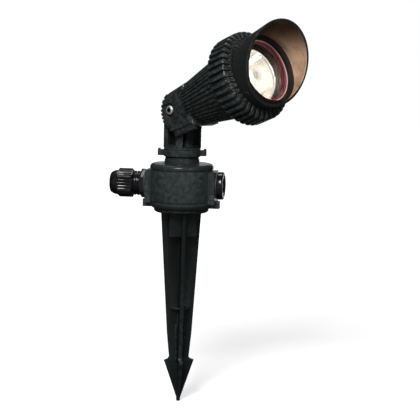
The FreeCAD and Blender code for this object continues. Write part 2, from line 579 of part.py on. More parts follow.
def make_housing():
    shell = body("housing_shell")
    end = "cone_end"
    profile = [("8", "0"), ("collar_end", "0"), ("collar_end", "nose_r-0.6"), ("collar_end-0.6", "nose_r")]
    profile += [("nose_s", "nose_r"), ("nose_s", "collar_r")]
    for turn in (1, 0):
        foot = "cone_end+%g" % (6 + 5.5 * turn)
        profile += [(foot + "+2.6", "collar_r"), (foot + "+1.8", "collar_r+0.9")]
        profile += [(foot + "+0.8", "collar_r+0.9"), (foot, "collar_r")]
    profile += [(end + "+2", "collar_r"), (end, cone(end)), ("8", cone("8"))]
    revolve(shell, outline(shell, "XZ_Plane", profile), "H_Axis")
    rib = [("12", cone("12", "-1")), (end + "-0.6", cone(end, "-1")), (end + "-0.6", cone(end, "rib_high"))]
    rib += [("14", cone("14", "rib_high"))]
    one = extrude(shell, outline(shell, "XZ_Plane", rib), "rib_wide", both=True)
    pattern(shell, one, "X_Axis", "rib_count")

    rear = fork("housing_fork", "0", "cheek_y+0.4", "5.8")
    grown = fork("housing_fork_grown", "1.1", "cheek_y+1", "6.4")
    heights = [-19 + 3.6 * i for i in range(10)]
    loops = [box_points("-20", "1.2", "%g" % z, "%g" % (z + 1.7)) for z in heights]
    made = []
    for i, loop in enumerate(loops):
        slab = body("housing_slab_%d" % i)
        extrude(slab, outline(slab, "XZ_Plane", loop), "2*cheek_y+4", both=True)
        made.append(slab)
    ribs = join("MultiFuse", "housing_slabs", made)
    teeth = join("MultiCommon", "housing_rear_ribs", [grown, ribs])

    bar = body("housing_bar")
    face = [("0-slot_y", "-21"), ("0-slot_y-3.6", "-21"), ("0-slot_y-3.6", "-25.2"), ("0-slot_y-2.8", "-26")]
    extrude(bar, outline(bar, "YZ_Plane", face + [("0-slot_y", "-26")], "-2"), "27")
    blank = join("MultiFuse", "housing_blank", [shell, rear, teeth, bar])

    tools = []
    hollow = [("rear_wall", "0"), ("collar_end+1", "0"), ("collar_end+1", "collar_in")]
    hollow += [("cone_end+2", "collar_in"), ("cone_end", cone("cone_end", "-shell"))]
    hollow += [("rear_wall", cone("rear_wall", "-shell"))]
    tools.append(turned("housing_hollow", hollow))
    slot = body("housing_slot")
    room = "knuckle_r+0.7"
    shape = [(room, "0", room, "ccw"), ("0", room), ("-30", room), ("-30", "-34"), ("20.5", "-34"), ("20.5", "-18")]
    extrude(slot, outline(slot, "XZ_Plane", shape), "2*slot_y", both=True)
    tools.append(slot)
    for side in (1, -1):
        word = "left" if side > 0 else "right"
        trim = body("housing_pad_" + word)
        flat = [("-30", "cheek_y"), ("pad_end", "cheek_y"), ("pad_end+pad_lean", "cheek_y+7")]
        flat += [("pad_end+pad_lean", "40"), ("-30", "40")]
        flat = [(x, "%d*(%s)" % (side, y)) for x, y in flat]
        extrude(trim, outline(trim, "XY_Plane", flat), "80", both=True)
        tools.append(trim)
        sink = body("housing_sink_" + word)
        floor = "0-cheek_y+sink" if side > 0 else "cheek_y-sink"
        extrude(sink, rounds(sink, "XZ_Plane", [("0", "0", "sink_r")], floor), "9", back=side > 0)
        open_end = box_points("-30", "0", "0-sink_r", "sink_r")
        lift = "0-cheek_y+1.3" if side > 0 else "cheek_y-1.3"
        extrude(sink, outline(sink, "XZ_Plane", open_end, lift), "9", back=side > 0)
        tools.append(sink)
    groove = body("housing_line")
    extrude(groove, outline(groove, "XZ_Plane", box_points("-9", "24", "-22.3", "-20.2"), "cheek_y-1.4"), "9")
    tools.append(groove)
    relief = body("housing_far_relief")
    under = [("1", "-30"), ("26", "-30"), ("26", "-22.6"), ("1", "-16.8")]
    extrude(relief, outline(relief, "XZ_Plane", under, "0-slot_y+1"), "0-slot_y+1+60", back=True)
    tools.append(relief)
    bores = body("housing_bores")
    extrude(bores, rounds(bores, "XZ_Plane", [("0", "0", "screw_r+0.05")]), "2*cheek_y", both=True)
    tools.append(bores)
    way = body("housing_lead_way")
    extrude(way, rounds(way, "YZ_Plane", [("0", "0", "4.5")], "8"), "rear_wall-7")
    tools.append(way)
    for side in (1, -1):
        pilot = body("housing_pilot_%d" % side)
        extrude(pilot, rounds(pilot, "YZ_Plane", [("%d*screw_out" % side, "0", "1.5")], "rear_wall-4"), "5")
        tools.append(pilot)
    cutter = join("MultiFuse", "housing_cutter", tools)
    on_head(join("Cut", "lamp_housing", (blank, cutter)))


# ---------------------------------------------------------------- front cap with its hood
def hood(s, extra="0"):
    return "hood_r+hood_rise*((%s)-hood_short)+(%s)" % (s, extra)


def make_cap():
    cap = body("front_cap")
    top = "hood_long+3"
    root = "cap_front+3.6"
    profile = [("cap_rear", "cap_bore"), ("cap_step", "cap_bore"), ("cap_step", "seat_r"), ("lip_s", "seat_r")]
    profile += [("lip_s", "lip_r"), ("lip_s+3.4", "lip_r"), ("lip_s+4.4", hood("lip_s+4.4", "0-hood_wall"))]
    profile += [(top, hood(top, "0-hood_wall")), (top, hood(top)), (root, hood(root))]
    profile += [("cap_front+1.6", "hood_r+1.2"), ("cap_front+0.6", "cap_root-1"), ("cap_front-0.4", "cap_root")]
    profile += [("cap_rear+1.6", "cap_root"), ("cap_rear+1.6", "cap_tip-0.4"), ("cap_rear+0.5", "cap_tip-0.4")]
    revolve(cap, outline(cap, "XZ_Plane", profile + [("cap_rear", "cap_tip-0.9")]), "H_Axis")
    rib = [("cap_rear+1", "cap_root-0.9"), ("cap_front-1.5", "cap_root-0.9"), ("cap_front+1", "hood_r+1.2")]
    rib += [("cap_front+2.5", "hood_r-1.2"), ("cap_front+4", "hood_r-1.1"), ("cap_front+3", "hood_r+2.2")]
    rib += [("cap_front+1.9", "cap_tip-1.2"), ("cap_front+0.4", "cap_tip"), ("cap_rear+1", "cap_tip")]
    one = extrude(cap, outline(cap, "XZ_Plane", rib), "cap_rib_wide", both=True)
    pattern(cap, one, "X_Axis", "cap_ribs")
    high = hood("hood_long")
    lean = "(hood_long-hood_short)/(hood_r+%s)" % high

    def rim(z):
        return "hood_short+(%s+hood_r)*(%s)" % (z, lean)
    away = [(rim("-60"), "-60"), ("175", "-60"), ("175", "60"), (rim("60"), "60")]
    extrude(cap, outline(cap, "XZ_Plane", away), "130", cut=True, both=True)
    on_head(cap, "cap_roll")

    near, far = "seat_s+1.5", "seat_s+1.5+glass_t"
    front, rim = "lip_s-gap", "seat_r-gap"
    ring = [("seat_s", "gasket_in"), (near, "gasket_in"), (near, "glass_r"), (far, "glass_r"), (far, "gasket_in")]
    ring += [(front, "gasket_in"), (front, rim), ("seat_s", rim)]
    on_head(turned("front_gasket", ring), "cap_roll")
    near, far, edge = near + "+play", far + "-play", "glass_r-play"
    disc = [(near, "0"), (far, "0"), (far, edge + "-0.4"), (far + "-0.4", edge), (near + "+0.4", edge)]
    on_head(turned("front_glass", disc + [(near, edge + "-0.4")]), "cap_roll")


# ---------------------------------------------------------------- lamp and its holder
def make_lamp():
    face = "lamp_s"
    shape = [("66", "9.9"), ("70.5", "10", "38", "cw"), (face + "-2", "lamp_r-1.7"), (face + "-2", "lamp_r-1.1")]
    shape += [(face, "lamp_r-1.1"), (face, "lamp_r"), (face + "-3.4", "lamp_r"), (face + "-4.2", "lamp_r-0.7", "38", "ccw")]
    shape += [("70", "11.5"), ("66", "11.5")]
    on_head(turned("lamp_reflector", shape))
    back, front, rim = face + "-2+play", face + "-0.5", "lamp_r-1.1-play"
    on_head(turned("lamp_lens", [(back, "0"), (front, "0"), (front, rim), (back, rim)]))
    base = [("52", "0"), ("66", "0"), ("66", "11.6"), ("70", "11.6"), ("70", "13.2"), ("64", "13.2")]
    on_head(turned("lamp_base", base + [("60.5", "10.2"), ("52", "10.2")]))
    bulb = [("66", "0"), ("89", "0", "4.5", "ccw"), ("84.5", "4.5"), ("72", "4.5"), ("70", "3.2"), ("66", "3.2")]
    on_head(turned("lamp_capsule", bulb))
    pins = []
    for side in (1, -1):
        pin = turned("lamp_pin_%d" % side, [("46.5", "0"), ("52", "0"), ("52", "1.5"), ("48.6", "1.5"), ("48.6", "2.5"), ("46.5", "2.5")])
        place(pin, y="%d*pin_y" % side)
        pins.append(pin)
    on_head(join("Compound", "lamp_pins", pins))
    collar = [(face + "-7.3", "lamp_r+0.4"), (face + "-3.7", "lamp_r+0.4"), (face + "-3.7", "collar_in")]
    on_head(turned("lamp_collar", collar + [(face + "-7.3", "collar_in")]))

    holder = turned("lamp_holder", [("34", "0"), ("holder_s", "0"), ("holder_s", "holder_r-0.8"), ("holder_s-0.8", "holder_r"), ("36", "holder_r"), ("34", "holder_r-2")])
    inner, outer = "pin_y-2.8", "pin_y+2.8"
    for start in (0, 180):
        low, high = "%d-slot_turn" % start, "%d+58" % start
        arc = [("(%s)*cos(%s)" % (inner, low), "(%s)*sin(%s)" % (inner, low))]
        arc += [("(%s)*cos(%s)" % (outer, low), "(%s)*sin(%s)" % (outer, low), outer, "ccw")]
        arc += [("(%s)*cos(%s)" % (outer, high), "(%s)*sin(%s)" % (outer, high))]
        arc += [("(%s)*cos(%s)" % (inner, high), "(%s)*sin(%s)" % (inner, high), inner, "cw")]
        extrude(holder, outline(holder, "YZ_Plane", arc, "holder_s"), "4.2", cut=True)
    extrude(holder, rounds(holder, "YZ_Plane", [("0", "0", "lead_r+0.1")], "33"), "4", cut=True, back=True)
    pilots = rounds(holder, "YZ_Plane", [("screw_in", "0", "1.55"), ("0-screw_in", "0", "1.55")], "33")
    extrude(holder, pilots, "6.2", cut=True, back=True)
    on_head(holder)

    bracket = body("holder_bracket")
    hat = [("rear_wall", "17"), ("rear_wall", "9.5"), ("32.5", "9.5"), ("32.5", "-9.5"), ("rear_wall", "-9.5")]
    hat += [("rear_wall", "-17"), ("rear_wall+1.5", "-17"), ("rear_wall+1.5", "-11"), ("34", "-11"), ("34", "11")]
    hat += [("rear_wall+1.5", "11"), ("rear_wall+1.5", "17")]
    extrude(bracket, outline(bracket, "XY_Plane", hat), "12", both=True)
    holes = [("0", "0", "3.6"), ("screw_in", "0", "1.7"), ("0-screw_in", "0", "1.7")]
    holes += [("screw_out", "0", "1.7"), ("0-screw_out", "0", "1.7")]
    extrude(bracket, rounds(bracket, "YZ_Plane", holes, "20"), "20", cut=True, back=True)
    on_head(bracket)
    made = []
    spots = [("rear_wall+1.5", "screw_out", "90"), ("rear_wall+1.5", "0-screw_out", "90")]
    spots += [("32.5", "screw_in", "-90"), ("32.5", "0-screw_in", "-90")]
    for i, (x, y, pitch) in enumerate(spots):
        one = screw("holder_screw_%d" % i, "1.45", "5", "2.6", "1.6", "cross")
        made.append(place(one, x, y, "0", pitch=pitch))
    on_head(join("Compound", "holder_screws", made))

    grommet = [("18.5", "lead_r+0.05"), ("rear_wall+1.3", "lead_r+0.05"), ("rear_wall+1.3", "6")]
    grommet += [("rear_wall", "6"), ("rear_wall", "4.5"), ("18.5", "4.5")]
    on_head(turned("lead_grommet", grommet))
    on_head(turned("head_lead", [("4", "0"), ("36.5", "0"), ("36.5", "lead_r"), ("4", "lead_r")]))


# ---------------------------------------------------------------- terminal block and leads
def make_terminals():
    block = body("terminal_block")
    low = "boss_top"
    base = box_points("-13", "13", "-7", "7")
    extrude(block, outline(block, "XY_Plane", base, low), "7")
    for i in (-1, 0, 1):
        tower = box_points("%d*pole-3.4" % i, "%d*pole+3.4" % i, "-6", "6")
        extrude(block, outline(block, "XY_Plane", tower, low + "+6.9"), "4.3")
    lanes = [("%d*pole" % i, low + "+4.2", "2.4") for i in (-1, 0, 1)]
    extrude(block, rounds(block, "XZ_Plane", lanes), "16", cut=True, both=True)
    tops = [("%d*pole" % i, "%g" % y, "1.9") for i in (-1, 0, 1) for y in (-3.4, 3.4)]
    extrude(block, rounds(block, "XY_Plane", tops, low + "+12"), "8.5", cut=True)

    tubes, screws = [], []
    for i in (-1, 0, 1):
        tube = body("terminal_tube_%d" % i)
        ring = rounds(tube, "XZ_Plane", [("%d*pole" % i, low + "+4.2", "2.4")])
        extrude(tube, ring, "11.6", both=True)
        hollow = rounds(tube, "XZ_Plane", [("%d*pole" % i, low + "+4.2", "1.5")])
        extrude(tube, hollow, "12", cut=True, both=True)
        tubes.append(tube)
        for y in (-3.4, 3.4):
            one = screw("terminal_screw_%d_%d" % (i, y), "1.3", "2", "1.7", "1.6", "cross")
            screws.append(place(one, "%d*pole" % i, "%g" % y, low + "+8.6"))
    join("Compound", "terminal_tubes", tubes)
    join("Compound", "terminal_screws", screws)

    cores = []
    for i, (side, lane) in enumerate(((-1, 0 - val("pole")), (1, 0.0))):
        top, floor = val("spigot_low") - 0.4, val(low) + 4.2
        path = [(side * 1.25, 0, top), (side * 1.25, 0.3, top - 1.2), (side * 1.6, 4.5, top - 2.6)]
        path += [(lane * 0.6 + side * 0.5, 9.4, top - 4.6), (lane, 10.6, floor + 2.6), (lane, 8.9, floor + 0.2)]
        path += [(lane, 7.4, floor), (lane, 4.4, floor)]
        curve = Part.BSplineCurve()
        curve.interpolate([FreeCAD.Vector(*p) for p in path])
        spine = Part.Wire([curve.toShape()])
        start, way = spine.Edges[0].valueAt(spine.Edges[0].FirstParameter), curve.tangent(curve.FirstParameter)[0]
        ring = Part.Wire([Part.makeCircle(1.15, start, way)])
        cores.append(spine.makePipeShell([ring], True, True))
    leads = doc.addObject("Part::Feature", "box_leads")
    leads.Label = "box_leads"
    leads.Shape = Part.makeCompound(cores)


# ---------------------------------------------------------------- gland and plug
def make_gland():
    gland = body("gland_body")
    fit = "hub_bore-play"
    face = "hub_x+1.5"
    profile = [("thread_in", "6.8"), ("hub_x+19.3", "6.8"), ("hub_x+19.3", "10.2"), ("hub_x+12", "10.2")]
    profile += [("hub_x+12", "11.4"), ("hub_x+11", "11.7"), ("hub_x+10.4", "10.9"), ("hub_x+9.5", "10.9")]
    profile += [("hub_x+8.9", "11.7"), ("hub_x+7.9", "11.7"), ("hub_x+7.3", "10.9"), ("hub_x+6.5", "10.9")]
    profile += [("hub_x+6.2", "11.9"), (face, "11.9"), (face, fit), ("thread_in+0.6", fit), ("thread_in", fit + "-0.6")]
    revolve(gland, outline(gland, "XZ_Plane", profile), "H_Axis")
    extrude(gland, outlines(gland, "YZ_Plane", [hex_points("nut_flat")], face), "3.9")
    hole = rounds(gland, "YZ_Plane", [("0", "0", "6.8")], "thread_in-1")
    extrude(gland, hole, "40", cut=True, back=True)
    place(gland, z="hub_z", yaw="180")

    washer = turned("gland_washer", [("hub_x", "hub_bore"), (face, "hub_bore"), (face, "13"), (face + "-0.4", "13.4"), ("hub_x+0.4", "13.4"), ("hub_x", "13")])
    place(washer, z="hub_z", yaw="180")
    seal = [("hub_x+6.8", "cable_r"), ("hub_x+26.8", "cable_r"), ("hub_x+26.8", "6.2")]
    seal += [("hub_x+25.8", "6.7"), ("hub_x+6.8", "6.7")]
    place(turned("gland_seal", seal), z="hub_z", yaw="180")

    nut = body("gland_nut")
    rear, mid, shoulder = "hub_x+12.7", "hub_x+22.3", "gland_end-7.6"
    shape = [(rear, "10.55"), (mid, "10.55"), ("hub_x+30.8", "8"), ("gland_end", "6.9"), ("gland_end", "8.9")]
    shape += [("gland_end-0.5", "9.5", "12", "ccw"), (shoulder, "nut_flat-0.1"), (rear, "nut_flat-0.1")]
    revolve(nut, outline(nut, "XZ_Plane", shape), "H_Axis")
    extrude(nut, outline(nut, "YZ_Plane", hex_points("nut_flat"), rear + "+0.7"), shoulder + "-hub_x-13")
    bore = [("hub_x+11.8", "0"), ("gland_end-7", "0"), ("gland_end-7", "8.8"), (mid, "10.55"), ("hub_x+11.8", "10.55")]
    revolve(nut, outline(nut, "XZ_Plane", bore), "H_Axis", cut=True)
    place(nut, z="hub_z", yaw="180")

    plug = body("blanking_plug")
    head = "hub_x+2"
    shape = [("thread_in", "0"), ("plug_end-3.4", "0"), ("plug_end-3.4", "6.5"), ("plug_end-0.7", "6.5")]
    shape += [("plug_end-0.7", "9.2"), ("plug_end", "9.9"), ("plug_end", "plug_r-1.4", "1.4", "ccw"), ("plug_end-1.4", "plug_r")]
    shape += [(head, "plug_r"), (head, fit), ("thread_in+0.6", fit), ("thread_in", fit + "-0.6")]
    revolve(plug, outline(plug, "XZ_Plane", shape), "H_Axis")
    socket = outline(plug, "YZ_Plane", hex_points("4"), "plug_end-3.4")
    extrude(plug, socket, "5", cut=True)
    place(plug, z="hub_z")
    ring = [("hub_x+gap", "hub_bore"), (head + "-gap", "hub_bore"), (head + "-gap", "12.4"), ("hub_x+gap", "12.4")]
    place(turned("plug_washer", ring), z="hub_z")


make_box()
make_base_cap()
make_box_small_parts()
make_spike()
make_stem()
make_lock_ring()
make_pivot_screws()
make_housing()
make_cap()
make_lamp()
make_terminals()
make_gland()
doc.recompute()

NODES = """junction_box base_cap box_seal cap_screws ground_spike stem swivel_seal spigot_nut stem_lead
lock_ring pivot_screw_near pivot_screw_far lamp_housing front_cap front_gasket front_glass
lamp_reflector lamp_lens lamp_base lamp_capsule lamp_pins lamp_collar lamp_holder holder_bracket
holder_screws lead_grommet head_lead terminal_block terminal_tubes terminal_screws box_leads
gland_body gland_washer gland_seal gland_nut blanking_plug plug_washer""".split()

faults = []
for made in doc.Objects:
    if "Invalid" in made.State or "Error" in made.State:
        faults.append("%s %s" % (made.Label, made.State))
for name in NODES:
    shape = doc.getObjectsByLabel(name)[0].Shape
    if shape.isNull() or not shape.isValid() or not shape.Solids:
        faults.append("%s has no valid shape" % name)
if faults:
    raise RuntimeError("; ".join(faults))

os.makedirs("parts", exist_ok=True)
for name in NODES:
    doc.getObjectsByLabel(name)[0].Shape.exportStep("parts/%s.step" % name)
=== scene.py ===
"""Garden spike spotlight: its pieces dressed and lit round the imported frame."""

import json
import math

import bmesh
import bpy
from bpy.props import FloatProperty, FloatVectorProperty, IntProperty, PointerProperty
from bpy.types import Operator, Panel, PropertyGroup
from mathutils import Matrix, Vector

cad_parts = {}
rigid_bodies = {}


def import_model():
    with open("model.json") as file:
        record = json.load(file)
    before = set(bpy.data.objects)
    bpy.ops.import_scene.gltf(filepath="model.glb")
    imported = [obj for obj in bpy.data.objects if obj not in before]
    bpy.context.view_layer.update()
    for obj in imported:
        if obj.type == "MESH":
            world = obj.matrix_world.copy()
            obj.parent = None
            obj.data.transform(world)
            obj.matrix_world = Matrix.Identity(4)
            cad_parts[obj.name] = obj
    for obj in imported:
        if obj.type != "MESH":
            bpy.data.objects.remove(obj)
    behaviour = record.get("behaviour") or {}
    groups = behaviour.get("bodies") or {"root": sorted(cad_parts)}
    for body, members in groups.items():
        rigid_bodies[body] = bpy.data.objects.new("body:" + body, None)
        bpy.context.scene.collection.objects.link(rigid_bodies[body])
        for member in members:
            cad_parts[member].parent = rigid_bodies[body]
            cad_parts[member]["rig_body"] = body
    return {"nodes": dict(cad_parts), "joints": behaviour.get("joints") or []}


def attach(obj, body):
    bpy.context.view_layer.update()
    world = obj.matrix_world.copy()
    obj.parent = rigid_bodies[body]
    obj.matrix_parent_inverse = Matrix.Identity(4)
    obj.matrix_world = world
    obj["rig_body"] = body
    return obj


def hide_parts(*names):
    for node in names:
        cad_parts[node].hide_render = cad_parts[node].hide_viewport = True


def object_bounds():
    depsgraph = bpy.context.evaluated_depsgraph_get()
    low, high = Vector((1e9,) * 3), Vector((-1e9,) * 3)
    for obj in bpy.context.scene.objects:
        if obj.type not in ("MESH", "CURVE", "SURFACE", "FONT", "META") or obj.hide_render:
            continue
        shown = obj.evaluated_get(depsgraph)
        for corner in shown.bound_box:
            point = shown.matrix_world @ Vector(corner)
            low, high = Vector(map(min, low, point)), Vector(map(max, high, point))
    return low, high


bl_info = {
    "name": "Garden Spike Spotlight",
    "version": (1, 0, 0),
    "blender": (4, 5, 0),
    "location": "View3D > Sidebar > Spotlight",
    "description": "Builds a garden spotlight on a ground spike, with its finishes and studio",
    "category": "Object",
}

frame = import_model()
CAD_BOX = [list(corner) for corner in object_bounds()]
JOINTS = {joint["name"]: joint for joint in frame["joints"]}
MM = 0.001

PIVOT = Vector(JOINTS["head_tilt"]["pos_m"])
HEAD_AXIS = Vector(JOINTS["front_cap_turn"]["axis"]).normalized()
ACROSS = -Vector(JOINTS["head_tilt"]["axis"]).normalized()

# The photograph's camera: its width and lens in pixels, where the stem's axis is seen at the
# height of AIM, and how many millimetres a pixel covers there.
PHOTO_WIDE = 420.0
PHOTO_LENS = 1300.0
PHOTO_AIM = (181.4, 200.3)
PHOTO_SCALE = 0.95
AIM = Vector((0, 0, 0.007))
LIT = Vector((0.03, 0, 0.03))  # where the lights point
SENSOR = 36.0


# ---- places
def place(origin, along, side):
    """A place whose X runs along the first direction and whose Y lies to the second."""
    x = along.normalized()
    z = x.cross(side).normalized()
    y = z.cross(x)
    turn = Matrix((x, y, z)).transposed().to_4x4()
    return Matrix.Translation(origin) @ turn


HEAD = place(PIVOT, HEAD_AXIS, ACROSS)


def hub_place(joint):
    """Where a fitting is measured from: the drum's axis, pointing out through the fitting's hub."""
    height = joint["pos_m"][2]
    return place(Vector((0, 0, height)), Vector(joint["axis"]), Vector((0, joint["axis"][0], 0)))


# ---- sizes and colours
def millimetres(name, description, default):
    """A size of the object."""
    return FloatProperty(name=name, description=description, default=default)


def fraction(name, description, default):
    """A share or a strength from 0 to 1."""
    return FloatProperty(name=name, description=description, default=default, min=0, max=1)


def paint(name, description, default):
    """A colour that the user can pick."""
    return FloatVectorProperty(name=name, description=description, subtype="COLOR", size=3, min=0, max=1,
                               default=default)


class HeadSizes(PropertyGroup):
    """Sizes of the lamp head in millimetres, measured along its axis from the tilt pivot."""
    cap_rear: millimetres("Cap rear", "Rear face of the front cap", 78.0)
    cap_bend: millimetres("Cap bend", "Where the cap's ribs bend inwards", 96.7)
    cap_radius: millimetres("Cap radius", "Cap radius between its ribs", 39.3)
    cap_rib_radius: millimetres("Rib radius", "Cap radius over its ribs", 41.4)
    cap_ribs: IntProperty(name="Cap ribs", description="Ribs round the front cap", default=40)
    cap_rib_wide: millimetres("Cap rib width", "Width of a cap rib", 3.3)
    cap_roll: FloatProperty(name="Hood turn", description="Turn of the hood about the head axis",
                            default=math.radians(-18.6), unit="ROTATION", subtype="ANGLE")
    lamp_face: millimetres("Lamp face", "Front of the lamp", 97.0)
    lamp_radius: millimetres("Lamp radius", "Outer radius of the lamp's rim", 24.4)
    gasket_seat: millimetres("Gasket seat", "Front of the red gasket", 109.8)
    hood_radius: millimetres("Hood radius", "Hood radius at its short side", 33.8)
    hood_rise: fraction("Hood rise", "Growth of the hood radius per millimetre", 0.1)
    hood_wall: millimetres("Hood wall", "Wall of the hood", 2.3)
    hood_root: millimetres("Hood root", "Where the hood leaves the cap", 101.2)
    hood_lip: millimetres("Hood lip", "Where the bronze inside starts", 114.4)
    hood_short: millimetres("Hood short side", "Where the hood's rim is nearest", 110.0)
    hood_long: millimetres("Hood long side", "Where the hood's rim is farthest", 142.5)


class FittingSizes(PropertyGroup):
    """Sizes in millimetres of the gland's nut, from the drum's axis, and the pivot screws, from the pivot."""
    nut_flat: millimetres("Nut flat", "From the nut's axis to a flat", 12.0)
    nut_rear: millimetres("Nut rear", "Rear face of the nut", 45.9)
    nut_shoulder: millimetres("Nut shoulder", "Where the hexagon ends", 60.7)
    nut_end: millimetres("Nut end", "Front of the domed nose", 68.3)
    nut_bore: millimetres("Nut bore", "Bore radius over the thread", 10.55)
    screw_tip: millimetres("Screw tip", "Inner end of a pivot screw", 5.4)
    screw_step: millimetres("Screw step", "Shoulder beside the stem", 12.87)
    screw_seat: millimetres("Screw seat", "Underside of the screw's head", 15.4)
    screw_top: millimetres("Screw top", "Top of the screw's head", 18.7)
    screw_head: millimetres("Screw head", "Radius of the screw's head", 4.35)
    screw_socket: millimetres("Screw socket", "From the axis to a flat of the socket", 2.05)


class Finishes(PropertyGroup):
    """Colours of the object's finishes."""
    body_colour: paint("Body", "Moulded plastic of box, stem and spike", (0.017, 0.021, 0.021))
    head_colour: paint("Head", "Moulded plastic of the head", (0.013, 0.015, 0.015))
    gland_colour: paint("Gland", "Glossy plastic of gland and plug", (0.004, 0.004, 0.005))
    bronze_colour: paint("Hood inside", "Bronze coat inside the hood", (0.72, 0.46, 0.3))
    gasket_colour: paint("Gasket", "Red silicone round the glass", (0.28, 0.022, 0.03))


class StageSettings(PropertyGroup):
    """The floor and the lights."""
    floor_colour: paint("Floor", "Pale floor and backdrop", (0.9, 0.9, 0.9))
    key_power: FloatProperty(name="Key light", description="Power of the large light in front and above",
                             default=24.0, unit="POWER", min=0)
    fill: fraction("Fill light", "Power of the light at the side, as a share of the key", 0.12)
    top: fraction("Top light", "Power of the light behind, as a share of the key", 0.2)
    sky: fraction("Sky", "Strength of the faint even light from all round", 0.2)
    bounce: fraction("Floor bounce", "Share of its light that the floor throws back", 0.3)
    flags: fraction("Side flags", "Brightness of the dark sides in glossy surfaces", 0.03)
    screen: fraction("Front screen", "Brightness of the front in glossy surfaces", 0.45)
    ceiling: fraction("Ceiling", "Brightness of the ceiling in glossy surfaces", 0.3)


def settings(context):
    """The four groups of settings, in the panel's order."""
    scene = context.scene
    return scene.spotlight_head, scene.spotlight_fittings, scene.spotlight_finish, scene.spotlight_stage


# ---- outlines
def arc(start, end, radius, turn, steps):
    """Points between two outline points on an arc that turns ccw (1) or cw (-1)."""
    a, b = Vector(start), Vector(end)
    chord = b - a
    half = chord.length / 2
    lift = math.sqrt(max(radius * radius - half * half, 0.0))
    centre = (a + b) / 2 + Vector((-chord.y, chord.x)).normalized() * lift * turn
    first = math.atan2(a.y - centre.y, a.x - centre.x)
    sweep = math.atan2(b.y - centre.y, b.x - centre.x) - first
    if turn > 0 and sweep < 0:
        sweep += 2 * math.pi
    if turn < 0 and sweep > 0:
        sweep -= 2 * math.pi
    angles = [first + sweep * i / steps for i in range(1, steps)]
    return [(centre.x + radius * math.cos(t), centre.y + radius * math.sin(t)) for t in angles]


def eased(points, radius, steps=4):
    """The same closed outline with its corners rounded, less where its sides are short."""
    made = []
    count = len(points)
    for i, point in enumerate(points):
        here, last, after = Vector(point), Vector(points[i - 1]), Vector(points[(i + 1) % count])
        before, behind = last - here, after - here
        nearly_straight = math.radians(160)
        if before.angle(behind, math.pi) > nearly_straight:
            made.append(point)
            continue
        most = 0.45
        reach = min(radius, before.length * most, behind.length * most)
        a, b = here + before.normalized() * reach, here + behind.normalized() * reach
        for step in range(steps + 1):
            t = step / steps
            mixed = a * (1 - t) ** 2 + here * 2 * t * (1 - t) + b * t * t
            made.append((mixed.x, mixed.y))
    return made


# ---- meshes
SAME_POINT = 2e-6  # metres
NO_LENGTH = 1e-7  # metres
FLAT = math.radians(0.6)
ON_AXIS = 1e-6  # millimetres


def new_piece(name, points, faces, where, material, smooth=40):
    """A mesh object from points in millimetres in its own place."""
    mesh = bpy.data.meshes.new(name)
    mesh.from_pydata([where @ (Vector(p) * MM) for p in points], [], faces)
    made = bpy.data.objects.new(name, mesh)
    bpy.context.scene.collection.objects.link(made)
    tidy(mesh)
    if material:
        mesh.materials.append(material)
    shade(mesh, smooth)
    return made


def tidy(mesh, flatten=False):
    """Joins points that coincide and turns all faces outwards; can join flat faces too."""
    work = bmesh.new()
    work.from_mesh(mesh)
    bmesh.ops.remove_doubles(work, verts=work.verts, dist=SAME_POINT)
    if flatten:
        bmesh.ops.dissolve_limit(work, angle_limit=FLAT, verts=work.verts, edges=work.edges)
    else:
        bmesh.ops.dissolve_degenerate(work, edges=work.edges, dist=NO_LENGTH)
    bmesh.ops.recalc_face_normals(work, faces=work.faces)
    work.to_mesh(mesh)
    work.free()
    mesh.update()


def shade(mesh, smooth):
    """Smooth shading, with edges sharper than the angle kept sharp."""
    mesh.shade_smooth()
    mesh.set_sharp_from_angle(angle=math.radians(smooth))


def turned_points(profile, steps):
    """Points and faces of a closed (x, radius) profile turned about X."""
    points, faces = [], []
    count = len(profile)
    for i in range(steps):
        t = 2 * math.pi * i / steps
        points += [(x, r * math.cos(t), r * math.sin(t)) for x, r in profile]
    for i in range(steps):
        a, b = i * count, (i + 1) % steps * count
        for j in range(count):
            k = (j + 1) % count
            if profile[j][1] < ON_AXIS and profile[k][1] < ON_AXIS:
                continue
            faces.append((a + j, a + k, b + k, b + j))
    return points, faces


def turned(name, profile, where, material, steps, ease):
    """A turned piece whose profile has its corners eased."""
    loop = [(x, max(r, 0.0)) for x, r in eased(profile, ease)]
    return new_piece(name, *turned_points(loop, steps), where, material)


def comb(width, edge):
    """Cross-section of one rib: (offset across it, share of the rib's height)."""
    half = width / 2
    left = [(-half - edge, 0.0), (-half - 0.1 * edge, 0.14), (-half + 0.2 * edge, 0.72)]
    left += [(-half + 0.9 * edge, 0.96), (-half + 1.8 * edge, 1.0)]
    return left + [(-x, h) for x, h in reversed(left)]


def woven_faces(rows, columns):
    """Faces between closed rows of points, from the last row back to the first too."""
    faces = []
    for j in range(rows):
        a, b = j * columns, (j + 1) % rows * columns
        faces += [(a + i, b + i, b + (i + 1) % columns, a + (i + 1) % columns) for i in range(columns)]
    return faces


def ribbed_points(valley, crest, ribs, width, edge):
    """A turned surface with raised ribs; valley and crest are profiles of the same length."""
    points = []
    teeth = comb(width, edge)
    pitch = 2 * math.pi / ribs
    columns = ribs * (len(teeth) + 1)
    for (x0, r0), (x1, r1) in zip(valley, crest):
        for rib in range(ribs):
            middle = rib * pitch
            for offset, share in teeth + [(None, 0.0)]:
                turn = pitch / 2 if offset is None else offset / max(r0, width)
                x, r = x0 + (x1 - x0) * share, r0 + (r1 - r0) * share
                points.append((x, r * math.cos(middle + turn), r * math.sin(middle + turn)))
    return points, woven_faces(len(valley), columns)


def round_edges(made, width):
    """Rounds the sharp edges of a piece."""
    bevel = made.modifiers.new("rounding", "BEVEL")
    bevel.width = width * MM
    bevel.segments = 2
    bevel.limit_method = "ANGLE"
    bevel.angle_limit = math.radians(30)
    bevel.use_clamp_overlap = True
    bevel.miter_outer = "MITER_ARC"
    settle(made)


